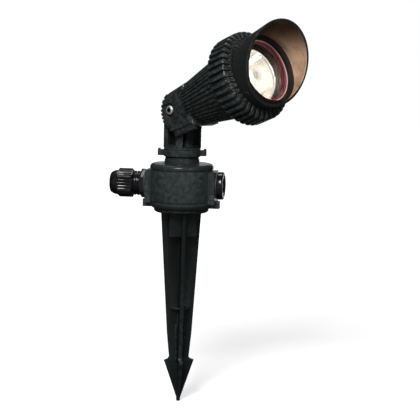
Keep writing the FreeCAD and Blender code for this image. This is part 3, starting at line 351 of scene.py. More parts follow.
def settle(made):
    """Keeps what the modifiers make of a piece as its mesh."""
    bpy.context.view_layer.update()
    shaped = made.evaluated_get(bpy.context.evaluated_depsgraph_get())
    mesh = bpy.data.meshes.new_from_object(shaped)
    made.modifiers.clear()
    old = made.data
    made.data = mesh
    bpy.data.meshes.remove(old)
    mesh.name = made.name


def hexagon_bar(name, flat, low, high, where):
    """A hexagonal bar along X between two levels; flat is from its axis to a side."""
    radius = flat / math.cos(math.pi / 6)
    angles = [math.pi / 6 + 2 * math.pi * i / 6 for i in range(6)]
    ends = [[(x, radius * math.cos(t), radius * math.sin(t)) for t in angles] for x in (low, high)]
    faces = [tuple(range(6)), tuple(range(6, 12))]
    faces += [(i, (i + 1) % 6, 6 + (i + 1) % 6, 6 + i) for i in range(6)]
    return new_piece(name, ends[0] + ends[1], faces, where, None)


def cut(made, other):
    """Cuts another piece from one and removes the other."""
    step = made.modifiers.new(other.name, "BOOLEAN")
    step.operation = "DIFFERENCE"
    step.solver = "EXACT"
    step.object = other
    settle(made)
    bpy.data.objects.remove(other)


def from_frame(node_name, name, material, width):
    """A finer piece over a frame solid: same shape, with its sharp edges rounded."""
    mesh = frame["nodes"][node_name].data.copy()
    mesh.name = name
    mesh.materials.clear()
    mesh.materials.append(material)
    made = bpy.data.objects.new(name, mesh)
    bpy.context.scene.collection.objects.link(made)
    tidy(mesh, flatten=True)
    if width:
        round_edges(made, width)
    shade(made.data, 35)
    return made


def stands_for(made, node_name):
    """The piece rides where its frame solid rides and is shown in place of it."""
    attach(made, frame["nodes"][node_name]["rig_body"])
    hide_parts(node_name)


# ---- shader groups
def group_frame(name, inputs, outputs):
    """An empty shader group with its sockets; outputs hold masks and values only."""
    tree = bpy.data.node_groups.new(name, "ShaderNodeTree")
    for label, default in inputs:
        socket = tree.interface.new_socket(name=label, in_out="INPUT", socket_type="NodeSocketFloat")
        socket.default_value = default
    for label in outputs:
        tree.interface.new_socket(name=label, in_out="OUTPUT", socket_type="NodeSocketFloat")
    return tree, tree.nodes.new("NodeGroupInput"), tree.nodes.new("NodeGroupOutput")


def node(tree, kind, **values):
    """A node with its settings given by name."""
    made = tree.nodes.new(kind)
    for key, value in values.items():
        setattr(made, key, value)
    return made


def feed(tree, made, **values):
    """Links sockets to inputs of a node, or sets them to values, by their names."""
    for key, value in values.items():
        connect(tree, made.inputs[key.replace("_", " ")], value)


def connect(tree, socket, value):
    """Gives an input its value, which is a number, a colour or another node's socket."""
    if isinstance(value, (int, float, tuple)):
        socket.default_value = value
    else:
        tree.links.new(value, socket)


def maths(tree, operation, a, b=None, c=None, clamp=False):
    """A maths node; its arguments are sockets or numbers."""
    made = tree.nodes.new("ShaderNodeMath")
    made.operation = operation
    made.use_clamp = clamp
    for socket, value in zip(made.inputs, (a, b, c)):
        if value is not None:
            connect(tree, socket, value)
    return made.outputs[0]


def noise(tree, vector, scale, detail, rough):
    """A cloudy value; its scale is a socket or a number."""
    made = tree.nodes.new("ShaderNodeTexNoise")
    feed(tree, made, Vector=vector, Scale=scale, Detail=detail, Roughness=rough)
    return made.outputs["Fac"]


def span(tree, value, low, high, out_low=0.0, out_high=1.0):
    """A value moved smoothly from one range to another."""
    made = node(tree, "ShaderNodeMapRange", interpolation_type="SMOOTHSTEP")
    feed(tree, made, Value=value, From_Min=low, From_Max=high, To_Min=out_low, To_Max=out_high)
    return made.outputs["Result"]


def mix_colour(tree, share, first, second):
    """A mix of two colours; all three arguments are sockets or values."""
    made = node(tree, "ShaderNodeMix", data_type="RGBA")
    for socket, value in ((made.inputs["Factor"], share), (made.inputs[6], first), (made.inputs[7], second)):
        connect(tree, socket, value)
    return made.outputs[2]


def object_spot(tree):
    """Where a point of the surface lies in the object's own frame."""
    return node(tree, "ShaderNodeTexCoord").outputs["Object"]


def moulding_group():
    """The skin of a moulding: a fine eroded grain, faint flow marks and sinks."""
    tree, given, out = group_frame(
        "moulded_skin", [("Grain Scale", 1400.0), ("Flow Scale", 60.0)],
        ["Height", "Flow"])
    spot = object_spot(tree)
    grain = noise(tree, spot, given.outputs["Grain Scale"], 4.0, 0.62)
    cells = tree.nodes.new("ShaderNodeTexVoronoi")
    feed(tree, cells, Vector=spot, Scale=given.outputs["Grain Scale"])
    pits = span(tree, cells.outputs["Distance"], 0.1, 0.75)
    flow = noise(tree, spot, given.outputs["Flow Scale"], 5.0, 0.55)
    height = maths(tree, "MULTIPLY_ADD", pits, 0.35, grain)
    height = maths(tree, "MULTIPLY_ADD", flow, 1.2, height)
    feed(tree, out, Height=height, Flow=flow)
    return tree


def wear_group():
    """Edges: a mask that is white where the surface turns over, for rubbed wear and a painted highlight, and
    one for painted shade in hollows.
    """
    tree, given, out = group_frame("edge_wear_and_painted_light", [("Reach", 0.5)], ["Mask", "Hollow"])
    spot = object_spot(tree)
    turned_over = node(tree, "ShaderNodeNewGeometry").outputs["Pointiness"]
    # painted shade: a mask for hollows, where the surface turns in
    edge, hollow_shade = span(tree, turned_over, 0.505, 0.55), span(tree, turned_over, 0.495, 0.45)
    patch = span(tree, noise(tree, spot, 240.0, 4.0, 0.6), 0.35, 0.68)
    mask = maths(tree, "MULTIPLY", maths(tree, "MULTIPLY", edge, patch), given.outputs["Reach"], clamp=True)
    feed(tree, out, Mask=mask, Hollow=hollow_shade)
    return tree


def dust_group():
    """Fine dust that settles on faces that look up, in soft patches."""
    tree, given, out = group_frame("settled_dust", [("Amount", 0.3)], ["Mask"])
    spot = object_spot(tree)
    parts = node(tree, "ShaderNodeSeparateXYZ")
    feed(tree, parts, Vector=node(tree, "ShaderNodeNewGeometry").outputs["Normal"])
    up = span(tree, parts.outputs["Z"], 0.2, 1.0, 0.12, 1.0)
    patch = span(tree, noise(tree, spot, 46.0, 6.0, 0.6), 0.3, 0.75)
    speck = span(tree, noise(tree, spot, 900.0, 2.0, 0.5), 0.5, 0.72)
    mask = maths(tree, "MULTIPLY", up, maths(tree, "MULTIPLY_ADD", speck, 0.5, patch))
    feed(tree, out, Mask=maths(tree, "MULTIPLY", mask, given.outputs["Amount"], clamp=True))
    return tree


def scuff_group():
    """Short fine scratches that run several ways."""
    tree, given, out = group_frame("handling_scuffs", [("Scale", 90.0)], ["Mask"])
    spot = object_spot(tree)
    marks = None
    for turn, squeeze in ((0.4, 14.0), (1.9, 19.0), (2.7, 11.0)):
        way = node(tree, "ShaderNodeMapping", vector_type="POINT")
        feed(tree, way, Vector=spot, Rotation=(turn, turn * 1.7, turn * 0.6), Scale=(1.0, squeeze, 1.0))
        lines = span(tree, noise(tree, way.outputs[0], given.outputs["Scale"], 2.0, 0.4), 0.66, 0.72)
        marks = lines if marks is None else maths(tree, "MAXIMUM", marks, lines)
    feed(tree, out, Mask=marks)
    return tree


def use(tree, name, **values):
    """One of the shader groups, placed in a material with its own values."""
    builders = {"moulded_skin": moulding_group, "edge_wear_and_painted_light": wear_group,
                "settled_dust": dust_group, "handling_scuffs": scuff_group}
    made = tree.nodes.new("ShaderNodeGroup")
    made.node_tree = bpy.data.node_groups.get(name) or builders[name]()
    feed(tree, made, **values)
    return made


# ---- finishes
DUST = (0.15, 0.145, 0.135, 1.0)
LINT = (0.3, 0.28, 0.26, 1.0)
# a dark brown painted as shade inside the hood
PAINTED_SHADE_BROWN = (0.022, 0.012, 0.007, 1.0)
BLACK = (0.0, 0.0, 0.0, 1.0)
WHITE = (1.0, 1.0, 1.0, 1.0)
# warm colour of the reflector's painted glow
REFLECTOR_PAINTED_GLOW = (1.0, 0.93, 0.82, 1.0)
CAPSULE_LIGHT = (1.0, 0.95, 0.86, 1.0)


def material(name):
    """An empty material with its main shader."""
    made = bpy.data.materials.new(name)
    made.use_nodes = True
    tree = made.node_tree
    tree.nodes.clear()
    shader = tree.nodes.new("ShaderNodeBsdfPrincipled")
    out = tree.nodes.new("ShaderNodeOutputMaterial")
    tree.links.new(shader.outputs[0], out.inputs["Surface"])
    return made, tree, shader


def relief(tree, height, depth):
    """The bumps of a skin, their depth in millimetres."""
    made = tree.nodes.new("ShaderNodeBump")
    feed(tree, made, Height=height, Distance=depth * MM, Strength=1.0)
    return made.outputs[0]


def rgba(colour, gain=1.0):
    """A colour with its alpha, made lighter or darker."""
    return tuple(min(c * gain, 1.0) for c in colour[:3]) + (1.0,)


def moulded(name, colour, rough, grain=0.02, dust=0.3, wear_and_highlight=0.5, coat=0.0, scale=1400.0):
    """Moulded plastic with a fine grain, dust on top, edges lightened for rubbed wear and a painted
    highlight, hollows darkened as painted shade, and scuffs.
    """
    made, tree, shader = material(name)
    skin = use(tree, "moulded_skin", Grain_Scale=scale)
    edges = use(tree, "edge_wear_and_painted_light", Reach=wear_and_highlight)
    worn_and_highlit = edges.outputs["Mask"]
    settled = use(tree, "settled_dust", Amount=dust).outputs[0]
    marks = use(tree, "handling_scuffs").outputs[0]
    flow = skin.outputs["Flow"]
    base = mix_colour(tree, span(tree, flow, 0.3, 0.7), rgba(colour, 0.97), rgba(colour, 1.04))
    # painted shade: hollows darkened
    base = mix_colour(tree, maths(tree, "MULTIPLY", edges.outputs["Hollow"], 0.85), base, rgba(colour, 0.15))
    # rubbed edges made lighter: real wear and a painted highlight on the rib crests
    base = mix_colour(tree, worn_and_highlit, base, rgba(colour, 5.0))
    base = mix_colour(tree, settled, base, DUST)
    base = mix_colour(tree, maths(tree, "MULTIPLY", marks, 0.2), base, rgba(colour, 2.2))
    level = span(tree, flow, 0.25, 0.75, rough - 0.03, rough + 0.04)
    level = maths(tree, "MULTIPLY_ADD", settled, 0.35, level, clamp=True)
    level = maths(tree, "MULTIPLY_ADD", worn_and_highlit, -0.08, level, clamp=True)
    height = maths(tree, "MULTIPLY_ADD", marks, -0.5, skin.outputs["Height"])
    feed(tree, shader, Base_Color=base, Roughness=level, IOR=1.5, Specular_IOR_Level=0.25,
         Coat_Weight=coat, Coat_Roughness=0.12, Normal=relief(tree, height, grain))
    return made


def metal(name, colour, rough, streak=0.0):
    """Plated or bare metal with fine streaks and faint staining."""
    made, tree, shader = material(name)
    marks = use(tree, "handling_scuffs", Scale=260.0).outputs[0]
    stain = span(tree, noise(tree, object_spot(tree), 180.0, 5.0, 0.6), 0.3, 0.75)
    level = span(tree, stain, 0.0, 1.0, rough, rough + 0.12)
    feed(tree, shader, Base_Color=mix_colour(tree, stain, rgba(colour), rgba(colour, 0.78)), Metallic=1.0,
         Roughness=maths(tree, "MULTIPLY_ADD", marks, streak, level, clamp=True),
         Normal=relief(tree, maths(tree, "ADD", marks, stain), 0.006))
    return made


def rubber(name, colour, rough=0.55, dust=0.2, grain=0.015):
    """Soft seal material with a dull skin and lint."""
    made, tree, shader = material(name)
    skin = use(tree, "moulded_skin", Grain_Scale=900.0)
    settled = use(tree, "settled_dust", Amount=dust).outputs[0]
    flow = skin.outputs["Flow"]
    base = mix_colour(tree, span(tree, flow, 0.3, 0.7), rgba(colour, 0.8), rgba(colour, 1.15))
    feed(tree, shader, Base_Color=mix_colour(tree, settled, base, LINT),
         Roughness=span(tree, flow, 0.2, 0.8, rough - 0.05, rough + 0.1), Sheen_Weight=0.15,
         Normal=relief(tree, skin.outputs["Height"], grain))
    return made


def clear_glass(name, rough=0.0, tint=(0.97, 0.985, 0.98), glow=0.0):
    """Clear glass with the faintest smears; the lamp's capsule glows a little."""
    made, tree, shader = material(name)
    smear = span(tree, noise(tree, object_spot(tree), 70.0, 4.0, 0.6), 0.45, 0.8)
    feed(tree, shader, Base_Color=mix_colour(tree, smear, rgba(tint), rgba(tint, 0.985)),
         Roughness=span(tree, smear, 0.0, 1.0, rough, rough + 0.05), IOR=1.47, Transmission_Weight=1.0,
         Emission_Color=CAPSULE_LIGHT, Emission_Strength=glow)
    return made


def ceramic(name, colour):
    """Unglazed ceramic: chalky, with fine specks."""
    made, tree, shader = material(name)
    speck = span(tree, noise(tree, object_spot(tree), 1300.0, 3.0, 0.6), 0.55, 0.7)
    feed(tree, shader, Base_Color=mix_colour(tree, speck, rgba(colour), rgba(colour, 0.82)),
         Roughness=span(tree, speck, 0, 1, 0.5, 0.65), Normal=relief(tree, speck, 0.012))
    return made


def bronze_coat(name, colour):
    """The hood's inside: a warm satin coat, blotchy and rubbed, with painted shade high up and low down."""
    made, tree, shader = material(name)
    skin = use(tree, "moulded_skin", Grain_Scale=1000.0, Flow_Scale=38.0)
    marks = use(tree, "handling_scuffs", Scale=70.0).outputs[0]
    spot = object_spot(tree)
    cloud = span(tree, noise(tree, spot, 34.0, 6.0, 0.65), 0.32, 0.7)
    base = mix_colour(tree, cloud, rgba(colour, 0.72), rgba(colour, 1.25))
    base = mix_colour(tree, maths(tree, "MULTIPLY", marks, 0.5), base, rgba(colour, 0.35))
    level = node(tree, "ShaderNodeSeparateXYZ")
    feed(tree, level, Vector=spot)
    height = maths(tree, "MULTIPLY_ADD", cloud, 0.008, level.outputs["Z"])
    # painted shade: the coat darkened high up and low down
    unshaded_top, shaded_top, unshaded_foot, shaded_foot = 0.146, 0.176, 0.122, 0.104
    above = span(tree, height, unshaded_top, shaded_top, 0.0, 0.93)
    below = span(tree, height, unshaded_foot, shaded_foot, 0.0, 0.75)
    base = mix_colour(tree, maths(tree, "MAXIMUM", above, below), base, PAINTED_SHADE_BROWN)
    feed(tree, shader, Base_Color=base, Metallic=0.6, Normal=relief(tree, skin.outputs["Height"], 0.02),
         Roughness=span(tree, skin.outputs["Flow"], 0.2, 0.8, 0.3, 0.45))
    return made


def mirror_coat(name):
    """The lamp's reflector: a bright coat on pressed glass, with a painted glow for the light it reflects."""
    made, tree, shader = material(name)
    cloud = noise(tree, object_spot(tree), 130.0, 3.0, 0.5)
    base = mix_colour(tree, cloud, (0.94, 0.92, 0.88, 1.0), (0.99, 0.98, 0.96, 1.0))
    # the emission is a painted glow for the light the reflector gives back
    feed(tree, shader, Base_Color=base, Metallic=1.0, Roughness=span(tree, cloud, 0.2, 0.8, 0.06, 0.16),
         Emission_Color=REFLECTOR_PAINTED_GLOW, Emission_Strength=0.3)
    return made


def braid(name, colour):
    """Woven heat-proof sleeve over a lead."""
    made, tree, shader = material(name)
    weave = node(tree, "ShaderNodeTexWave", bands_direction="DIAGONAL")
    feed(tree, weave, Scale=420.0, Vector=object_spot(tree))
    strand = weave.outputs["Fac"]
    feed(tree, shader, Base_Color=mix_colour(tree, strand, rgba(colour, 0.7), rgba(colour, 1.1)),
         Roughness=span(tree, strand, 0, 1, 0.5, 0.75), Normal=relief(tree, strand, 0.08))
    return made


FINISH = {}


def make_finishes(colours):
    """All finishes, made once and shared by the pieces."""
    body, head = tuple(colours.body_colour), tuple(colours.head_colour)
    gloss, bronze = tuple(colours.gland_colour), tuple(colours.bronze_colour)
    FINISH.update(
        body=moulded("satin_black_body", body, 0.27, grain=0.012, dust=0.05, wear_and_highlight=0.5),
        # the spike takes the body's colour darkened: painted shade for the dimmer light low down
        spike=moulded("satin_black_spike", rgba(body, 0.6), 0.25, grain=0.01, dust=0.03, wear_and_highlight=0.6),
        head=moulded("satin_black_head", head, 0.27, grain=0.012, dust=0.04, wear_and_highlight=0.55),
        cap=moulded("satin_black_cap", head, 0.24, grain=0.01, dust=0.03, wear_and_highlight=0.6),
        gloss=moulded("glossy_black", gloss, 0.16, grain=0.004, dust=0.02, wear_and_highlight=0.3, coat=0.2, scale=800.0),
        bronze=bronze_coat("bronze_inside", bronze),
        red=rubber("red_silicone", tuple(colours.gasket_colour), 0.45, dust=0.05),
        black_rubber=rubber("black_rubber", (0.012, 0.012, 0.012)),
        white_rubber=rubber("pale_silicone", (0.6, 0.6, 0.57), 0.5),
        glass=clear_glass("front_clear_glass"),
        lamp_glass=clear_glass("lamp_clear_glass", 0.02, (0.98, 0.97, 0.95)),
        capsule=clear_glass("lit_capsule", 0.1, glow=0.8),
        lens=clear_glass("lens_glass", 0.16, (0.98, 0.97, 0.95)),
        collar=moulded("brown_collar", (0.007, 0.0035, 0.0025), 0.5, dust=0.0, wear_and_highlight=0.1),
        # a pale colour painted as the glint where the glass meets the gasket
        bead=rubber("pale_bead", (0.75, 0.7, 0.64), 0.4, dust=0.0, grain=0.005),
        mirror=mirror_coat("faceted_mirror"),
        ceramic=ceramic("white_ceramic", (0.82, 0.8, 0.74)),
        nylon=moulded("white_nylon", (0.72, 0.72, 0.69), 0.35, grain=0.006, dust=0.02, wear_and_highlight=0.0),
        socket=metal("dark_socket", (0.02, 0.02, 0.02), 0.5),
        nickel=metal("brushed_nickel", (0.93, 0.92, 0.9), 0.42, streak=0.1),
        zinc=metal("zinc_plate", (0.66, 0.66, 0.64), 0.32, streak=0.15),
        brass=metal("plain_brass", (0.75, 0.58, 0.3), 0.3, streak=0.12),
        sleeve=braid("braided_sleeve", (0.55, 0.52, 0.45)))


# ---- operators
def dress(pieces, ending="_piece"):
    """Rounded pieces over frame solids, each given as (node, finish, width of its rounding)."""
    for node_name, finish, width in pieces:
        stands_for(from_frame(node_name, node_name + ending, FINISH[finish], width), node_name)


class SPOTLIGHT_OT_finishes(Operator):
    """Make the shader groups and the finishes"""
    bl_idname = "spotlight.finishes"
    bl_label = "Finishes"
    bl_options = {"REGISTER", "UNDO"}

    def execute(self, context):
        make_finishes(context.scene.spotlight_finish)
        return {"FINISHED"}


class SPOTLIGHT_OT_casing(Operator):
    """Dress the junction box, its base cap, the stem and the lock ring"""
    bl_idname = "spotlight.casing"
    bl_label = "Box and Stem"
    bl_options = {"REGISTER", "UNDO"}

    def execute(self, context):
        dress((("junction_box", "body", 0.35), ("base_cap", "body", 0.3), ("stem", "body", 0.3),
               ("lock_ring", "body", 0.3)), "_moulding")
        return {"FINISHED"}


class SPOTLIGHT_OT_spike(Operator):
    """Dress the ground spike"""
    bl_idname = "spotlight.spike"
    bl_label = "Ground Spike"
    bl_options = {"REGISTER", "UNDO"}

    def execute(self, context):
        dress((("ground_spike", "spike", 0.3),), "_moulding")
        return {"FINISHED"}


class SPOTLIGHT_OT_housing(Operator):
    """Dress the ribbed lamp housing"""
    bl_idname = "spotlight.housing"
    bl_label = "Lamp Housing"
    bl_options = {"REGISTER", "UNDO"}

    def execute(self, context):
        dress((("lamp_housing", "head", 0.16),), "_moulding")
        return {"FINISHED"}


CAP_STEP = 96.0  # where the cap's bore steps in to the glass's seat, in the head's millimetres


class Hood:
    """The hood's cone and the slanting plane that cuts its rim, in millimetres."""
    def __init__(self, head):
        self.low, self.long, self.wall = head.hood_short, head.hood_long, head.hood_wall
        self.root, self.lip, self.rise = head.hood_root, head.hood_lip, head.hood_rise
        self.zero = head.hood_radius - head.hood_rise * head.hood_short
        self.lean = (head.hood_long - head.hood_short) / (head.hood_radius + self.radius(head.hood_long))
        self.short_radius = head.hood_radius

    def radius(self, x, wall=0.0):
        """The uncut cone's radius, outside or, with the wall off, inside."""
        return self.zero + self.rise * x - wall

    def plane(self, radius, turn):
        """Where the slanting plane cuts at a radius and a turn about the axis."""
        return self.low + (self.short_radius + radius * math.sin(turn)) * self.lean

    def edge(self, wall, turn):
        """Where the plane cuts the cone, outside or, with the wall off, inside."""
        share = math.sin(turn) * self.lean
        reach = self.low + self.short_radius * self.lean + (self.zero - wall) * share
        return reach / (1 - self.rise * share)

    def moved(self, x, radius, turn):
        """A point of the uncut hood, drawn back to the slanting rim."""
        least = 0.3
        inside = radius < self.radius(x, self.wall / 2)
        edge = self.edge(self.wall if inside else 0.0, turn)
        start = self.lip if inside else self.root
        if radius < self.radius(self.lip, self.wall) - 0.01:
            return min(x, self.plane(radius, turn)), radius
        foot = min(start, edge - least)
        drawn = foot + (x - start) * (edge - foot) / (self.long - start)
        return drawn, radius + self.rise * (drawn - x)


def cap_profiles(head, hood):
    """The cap with its hood in section, between its ribs and over them, with rows that match."""
    rear, bend, seat = head.cap_rear, head.cap_bend, head.gasket_seat
    skin, crown = head.cap_radius, head.cap_rib_radius
    bore, recess, inner_lip = 34.4, 30.6, 28.5
    rim = [(rear + 2.2, bore), (rear + 1.2, bore + 0.4), (rear + 0.2, bore + 1), (rear, bore + 1.6)]
    rim += [(rear, skin - 0.7)]
    valley = rim + [(rear + 0.3, skin - 0.3), (rear + 1.2, skin - 0.1), (rear + 2.5, skin - 0.1)]
    valley += [(rear + 10, skin), (bend - 1.3, skin), (bend - 0.1, skin - 0.6), (bend + 1.1, skin - 2.7)]
    valley += [(bend + 2.2, skin - 4.9), (bend + 3.5, skin - 6.3)]
    crest = rim + [(rear + 0.4, crown - 1), (rear + 1.4, crown - 0.2), (rear + 2.7, crown)]
    crest += [(rear + 10, crown), (bend, crown), (bend + 1, crown - 0.4), (bend + 2, crown - 1.3)]
    crest += [(bend + 3.2, crown - 4.8), (bend + 4.1, crown - 8)]
    wall, end, steps = hood.wall, hood.long, 12
    last = end - 0.5
    plain = [(x, hood.radius(x)) for x in evenly(hood.root, last, steps)]
    plain += [(end - 0.15, hood.radius(end) - 0.12), (end, hood.radius(end) - 0.5)]
    plain += [(end, hood.radius(end, wall) + 0.5), (end - 0.15, hood.radius(end, wall) + 0.12)]
    plain += [(x, hood.radius(x, wall)) for x in reversed(evenly(hood.lip, last, steps))]
    plain += [(seat + 4.1, recess + 0.8), (seat + 3.4, recess), (seat + 3.4, inner_lip + 0.4)]
    plain += [(seat + 3, inner_lip), (seat + 0.4, inner_lip), (seat, inner_lip + 0.3), (seat, recess)]
    plain += [(CAP_STEP + 0.3, recess), (CAP_STEP, recess + 0.4), (CAP_STEP, bore - 0.3)]
    plain += [(CAP_STEP - 0.3, bore)]
    return valley + plain, crest + plain


def face_at(face, back):
    """A face's centre in its place's millimetres, and how far it looks away from the axis."""
    centre = back @ face.center / MM
    radial = Vector((0, centre.y, centre.z)).normalized()
    return centre, (back.to_3x3() @ face.normal).dot(radial)


def evenly(start, end, steps):
    """Numbers from one to another in equal steps."""
    return [start + (end - start) * i / steps for i in range(steps + 1)]


class SPOTLIGHT_OT_front_cap(Operator):
    """Build the ribbed front cap with its slanting hood"""
    bl_idname = "spotlight.front_cap"
    bl_label = "Front Cap"
    bl_options = {"REGISTER", "UNDO"}

    def execute(self, context):
        head = context.scene.spotlight_head
        hood = Hood(head)
        valley, crest = cap_profiles(head, hood)
        ribbed, faces = ribbed_points(valley, crest, head.cap_ribs, head.cap_rib_wide, 0.26)
        seat_end, seat_radius = head.gasket_seat + 0.7, 31.5
        points = []
        for x, y, z in ribbed:
            size, turn = math.hypot(y, z), math.atan2(z, y)
            if x > hood.root + 0.1 and (x > seat_end or size > seat_radius):
                x, size = hood.moved(x, size, turn)
            points.append((x, size * math.cos(turn), size * math.sin(turn)))
        where = HEAD @ Matrix.Rotation(head.cap_roll, 4, "X")
        made = new_piece("front_cap_moulding", points, faces, where, FINISH["cap"], 50)
        made.data.materials.append(FINISH["bronze"])
        made.data.materials.append(FINISH["collar"])
        outside, bronze, collar = range(3)
        back = where.inverted()
        for face in made.data.polygons:
            centre, outward = face_at(face, back)
            size = centre.yz.length
            if centre.x > CAP_STEP and size < seat_radius + 0.2:
                face.material_index = collar
            elif centre.x > head.gasket_seat + 0.1 and outward < -0.5:
                on_lip = size > hood.radius(centre.x, hood.wall) + 0.2
                face.material_index = outside if on_lip else bronze
        stands_for(made, "front_cap")
        return {"FINISHED"}


class SPOTLIGHT_OT_glass(Operator):
    """Build the front glass, its red gasket and a pale ring painted as a glint at the glass's edge"""
    bl_idname = "spotlight.glass"
    bl_label = "Glass and Gasket"
    bl_options = {"REGISTER", "UNDO"}

    def execute(self, context):
        dress((("front_gasket", "red", 0.2), ("front_glass", "glass", 0.2)))
        # a thin pale ring at the gasket's front: a painted glint where the glass meets the gasket
        front, inner, outer = context.scene.spotlight_head.gasket_seat - 0.04, 27.7, 28.45
        ring = [(front - 0.24, inner), (front - 0.24, outer), (front, outer), (front, inner + 0.2)]
        bead = turned("gasket_bead", ring, HEAD, FINISH["bead"], 128, 0.08)
        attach(bead, frame["nodes"]["front_gasket"]["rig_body"])
        return {"FINISHED"}


class SPOTLIGHT_OT_lamp(Operator):
    """Build the reflector lamp with its faceted bowl"""
    bl_idname = "spotlight.lamp"
    bl_label = "Lamp"
    bl_options = {"REGISTER", "UNDO"}

    def execute(self, context):
        head = context.scene.spotlight_head
        face, rim, columns, rings = head.lamp_face, head.lamp_radius, 54, 10
        rear, neck, floor, bowl_radius, hole = 66.0, 11.5, 73.0, 12.5, 10.2
        bowl = []
        for i in range(rings + 1):
            share = i / rings
            deep = 2.2 + (face - floor) * share ** 1.25
            bowl.append((face - deep, hole + bowl_radius * (1 - share) ** 0.62))
        edge = (face - 4.2, rim - 0.6)
        outer = [(rear, neck - 1.6), (rear, neck), (rear + 4, neck)]
        outer += arc((rear + 4, neck), edge, 38.0, -1, 10)
        outer += [edge, (face - 3.4, rim), (face - 0.3, rim), (face, rim - 0.3)]
        outer += [(face, rim - 0.9), (face - 2.0, rim - 1.0)]
        points, faces = turned_points(outer + bowl, columns)
        made = new_piece("lamp_reflector_piece", points, faces, HEAD, FINISH["mirror"])
        made.data.materials.append(FINISH["collar"])
        back = HEAD.inverted()
        for facet in made.data.polygons:
            centre, outward = face_at(facet, back)
            facet.use_smooth = not (outward < -0.2 and floor - 2 < centre.x < face - 2.1)
            facet.material_index = int(centre.x > face - 3.5 and centre.yz.length > rim - 1.2)
        stands_for(made, "lamp_reflector")
        lens = [(face - 1.9, 0.0), (face - 0.5, 0.0), (face - 0.5, rim - 1.1), (face - 1.9, rim - 1.1)]
        stands_for(turned("lamp_lens_piece", lens, HEAD, FINISH["lens"], 96, 0.15), "lamp_lens")
        dress((("lamp_capsule", "capsule", 0.1), ("lamp_base", "ceramic", 0.1), ("lamp_pins", "zinc", 0.1),
               ("lamp_holder", "ceramic", 0.1), ("lamp_collar", "collar", 0.1),
               ("holder_bracket", "zinc", 0.1), ("holder_screws", "zinc", 0.1),
               ("lead_grommet", "white_rubber", 0.1), ("head_lead", "sleeve", 0.1),
               ("stem_lead", "sleeve", 0.1)))
        return {"FINISHED"}


def fluted_nut(sizes):
    """The gland's hexagon nut: shallow flutes along each face, a domed nose and a bore."""
    flat, rear, shoulder, end = sizes.nut_flat, sizes.nut_rear, sizes.nut_shoulder, sizes.nut_end
    turns = []
    for side in range(6):
        for groove in (-4.2, -1.4, 1.4, 4.2):
            for step, depth in ((-0.85, 0.0), (-0.5, 0.42), (0.0, 0.6), (0.5, 0.42), (0.85, 0.0)):
                turns.append((side, groove + step, depth))
        turns.append((side, flat * math.tan(math.pi / 6), 0.0))
    whole, fluted, round_row = range(3)
    no_limit = 99
    rows = [(rear, flat - 0.4, whole), (rear + 0.5, flat + 0.3, whole), (rear + 1.4, flat + 1.9, whole)]
    rows += [(rear + 2.6, no_limit, fluted), (shoulder - 1.8, no_limit, fluted)]
    rows += [(shoulder - 0.6, flat + 1.9, whole), (shoulder + 0.2, flat + 0.4, whole)]
    foot, brow = (shoulder + 0.5, flat - 0.2), (end - 0.7, 9.7)
    dome = [foot] + arc(foot, brow, 11.5, -1, 8)
    dome += [brow, (end - 0.2, 9.2), (end, 8.8), (end, 7.2), (end - 0.3, 6.9), (end - 4.3, 8.0)]
    dome += [(end - 12.8, sizes.nut_bore), (rear + 0.4, sizes.nut_bore), (rear, sizes.nut_bore + 0.35)]
    rows += [(x, r, round_row) for x, r in dome]
    points = []
    for x, most, kind in rows:
        for side, across, depth in turns:
            turn = side * math.pi / 3 + math.atan2(across, flat)
            size = math.hypot(flat, across) * (1 - (depth / flat if kind == fluted else 0.0))
            size = most if kind == round_row else min(most, size)
            points.append((x, size * math.cos(turn), size * math.sin(turn)))
    return points, woven_faces(len(rows), len(turns))


def socket_screw(name, sizes, where):
    """A shouldered pivot screw with a dark hexagon socket in its bright head."""
    tip, step, seat, top = sizes.screw_tip, sizes.screw_step, sizes.screw_seat, sizes.screw_top
    thread, shank, socket_deep = 2.95, 4.0, 2.4
    profile = [(tip, 0.0), (tip, thread - 0.55), (tip + 0.6, thread), (step, thread), (step, shank)]
    profile += [(seat, shank), (seat, sizes.screw_head), (top - 0.7, sizes.screw_head)]
    profile += [(top, sizes.screw_head - 0.75), (top, 0.0)]
    made = turned(name, profile, where, FINISH["nickel"], 96, 0.12)
    # the faces inside the socket are made near-black
    made.data.materials.append(FINISH["socket"])
    cut(made, hexagon_bar(name + "_socket", sizes.screw_socket, top - socket_deep, top + 1.0, where))
    back = where.inverted()
    for face in made.data.polygons:
        centre, _ = face_at(face, back)
        if centre.yz.length < 2.4 and centre.x > top - socket_deep - 0.05 and abs(centre.x - top) > 0.05:
            face.material_index = 1
    shade(made.data, 35)
    return made


class SPOTLIGHT_OT_pivot_screws(Operator):
    """Build the two socket screws that the head tilts on"""
    bl_idname = "spotlight.pivot_screws"
    bl_label = "Pivot Screws"
    bl_options = {"REGISTER", "UNDO"}

    def execute(self, context):
        sizes = context.scene.spotlight_fittings
        far = Vector(JOINTS["far_screw_turn"]["axis"])
        for side, outward in (("near", -far), ("far", far)):
            where = place(PIVOT, outward, HEAD_AXIS)
            stands_for(socket_screw("pivot_screw_%s_piece" % side, sizes, where), "pivot_screw_" + side)
        return {"FINISHED"}


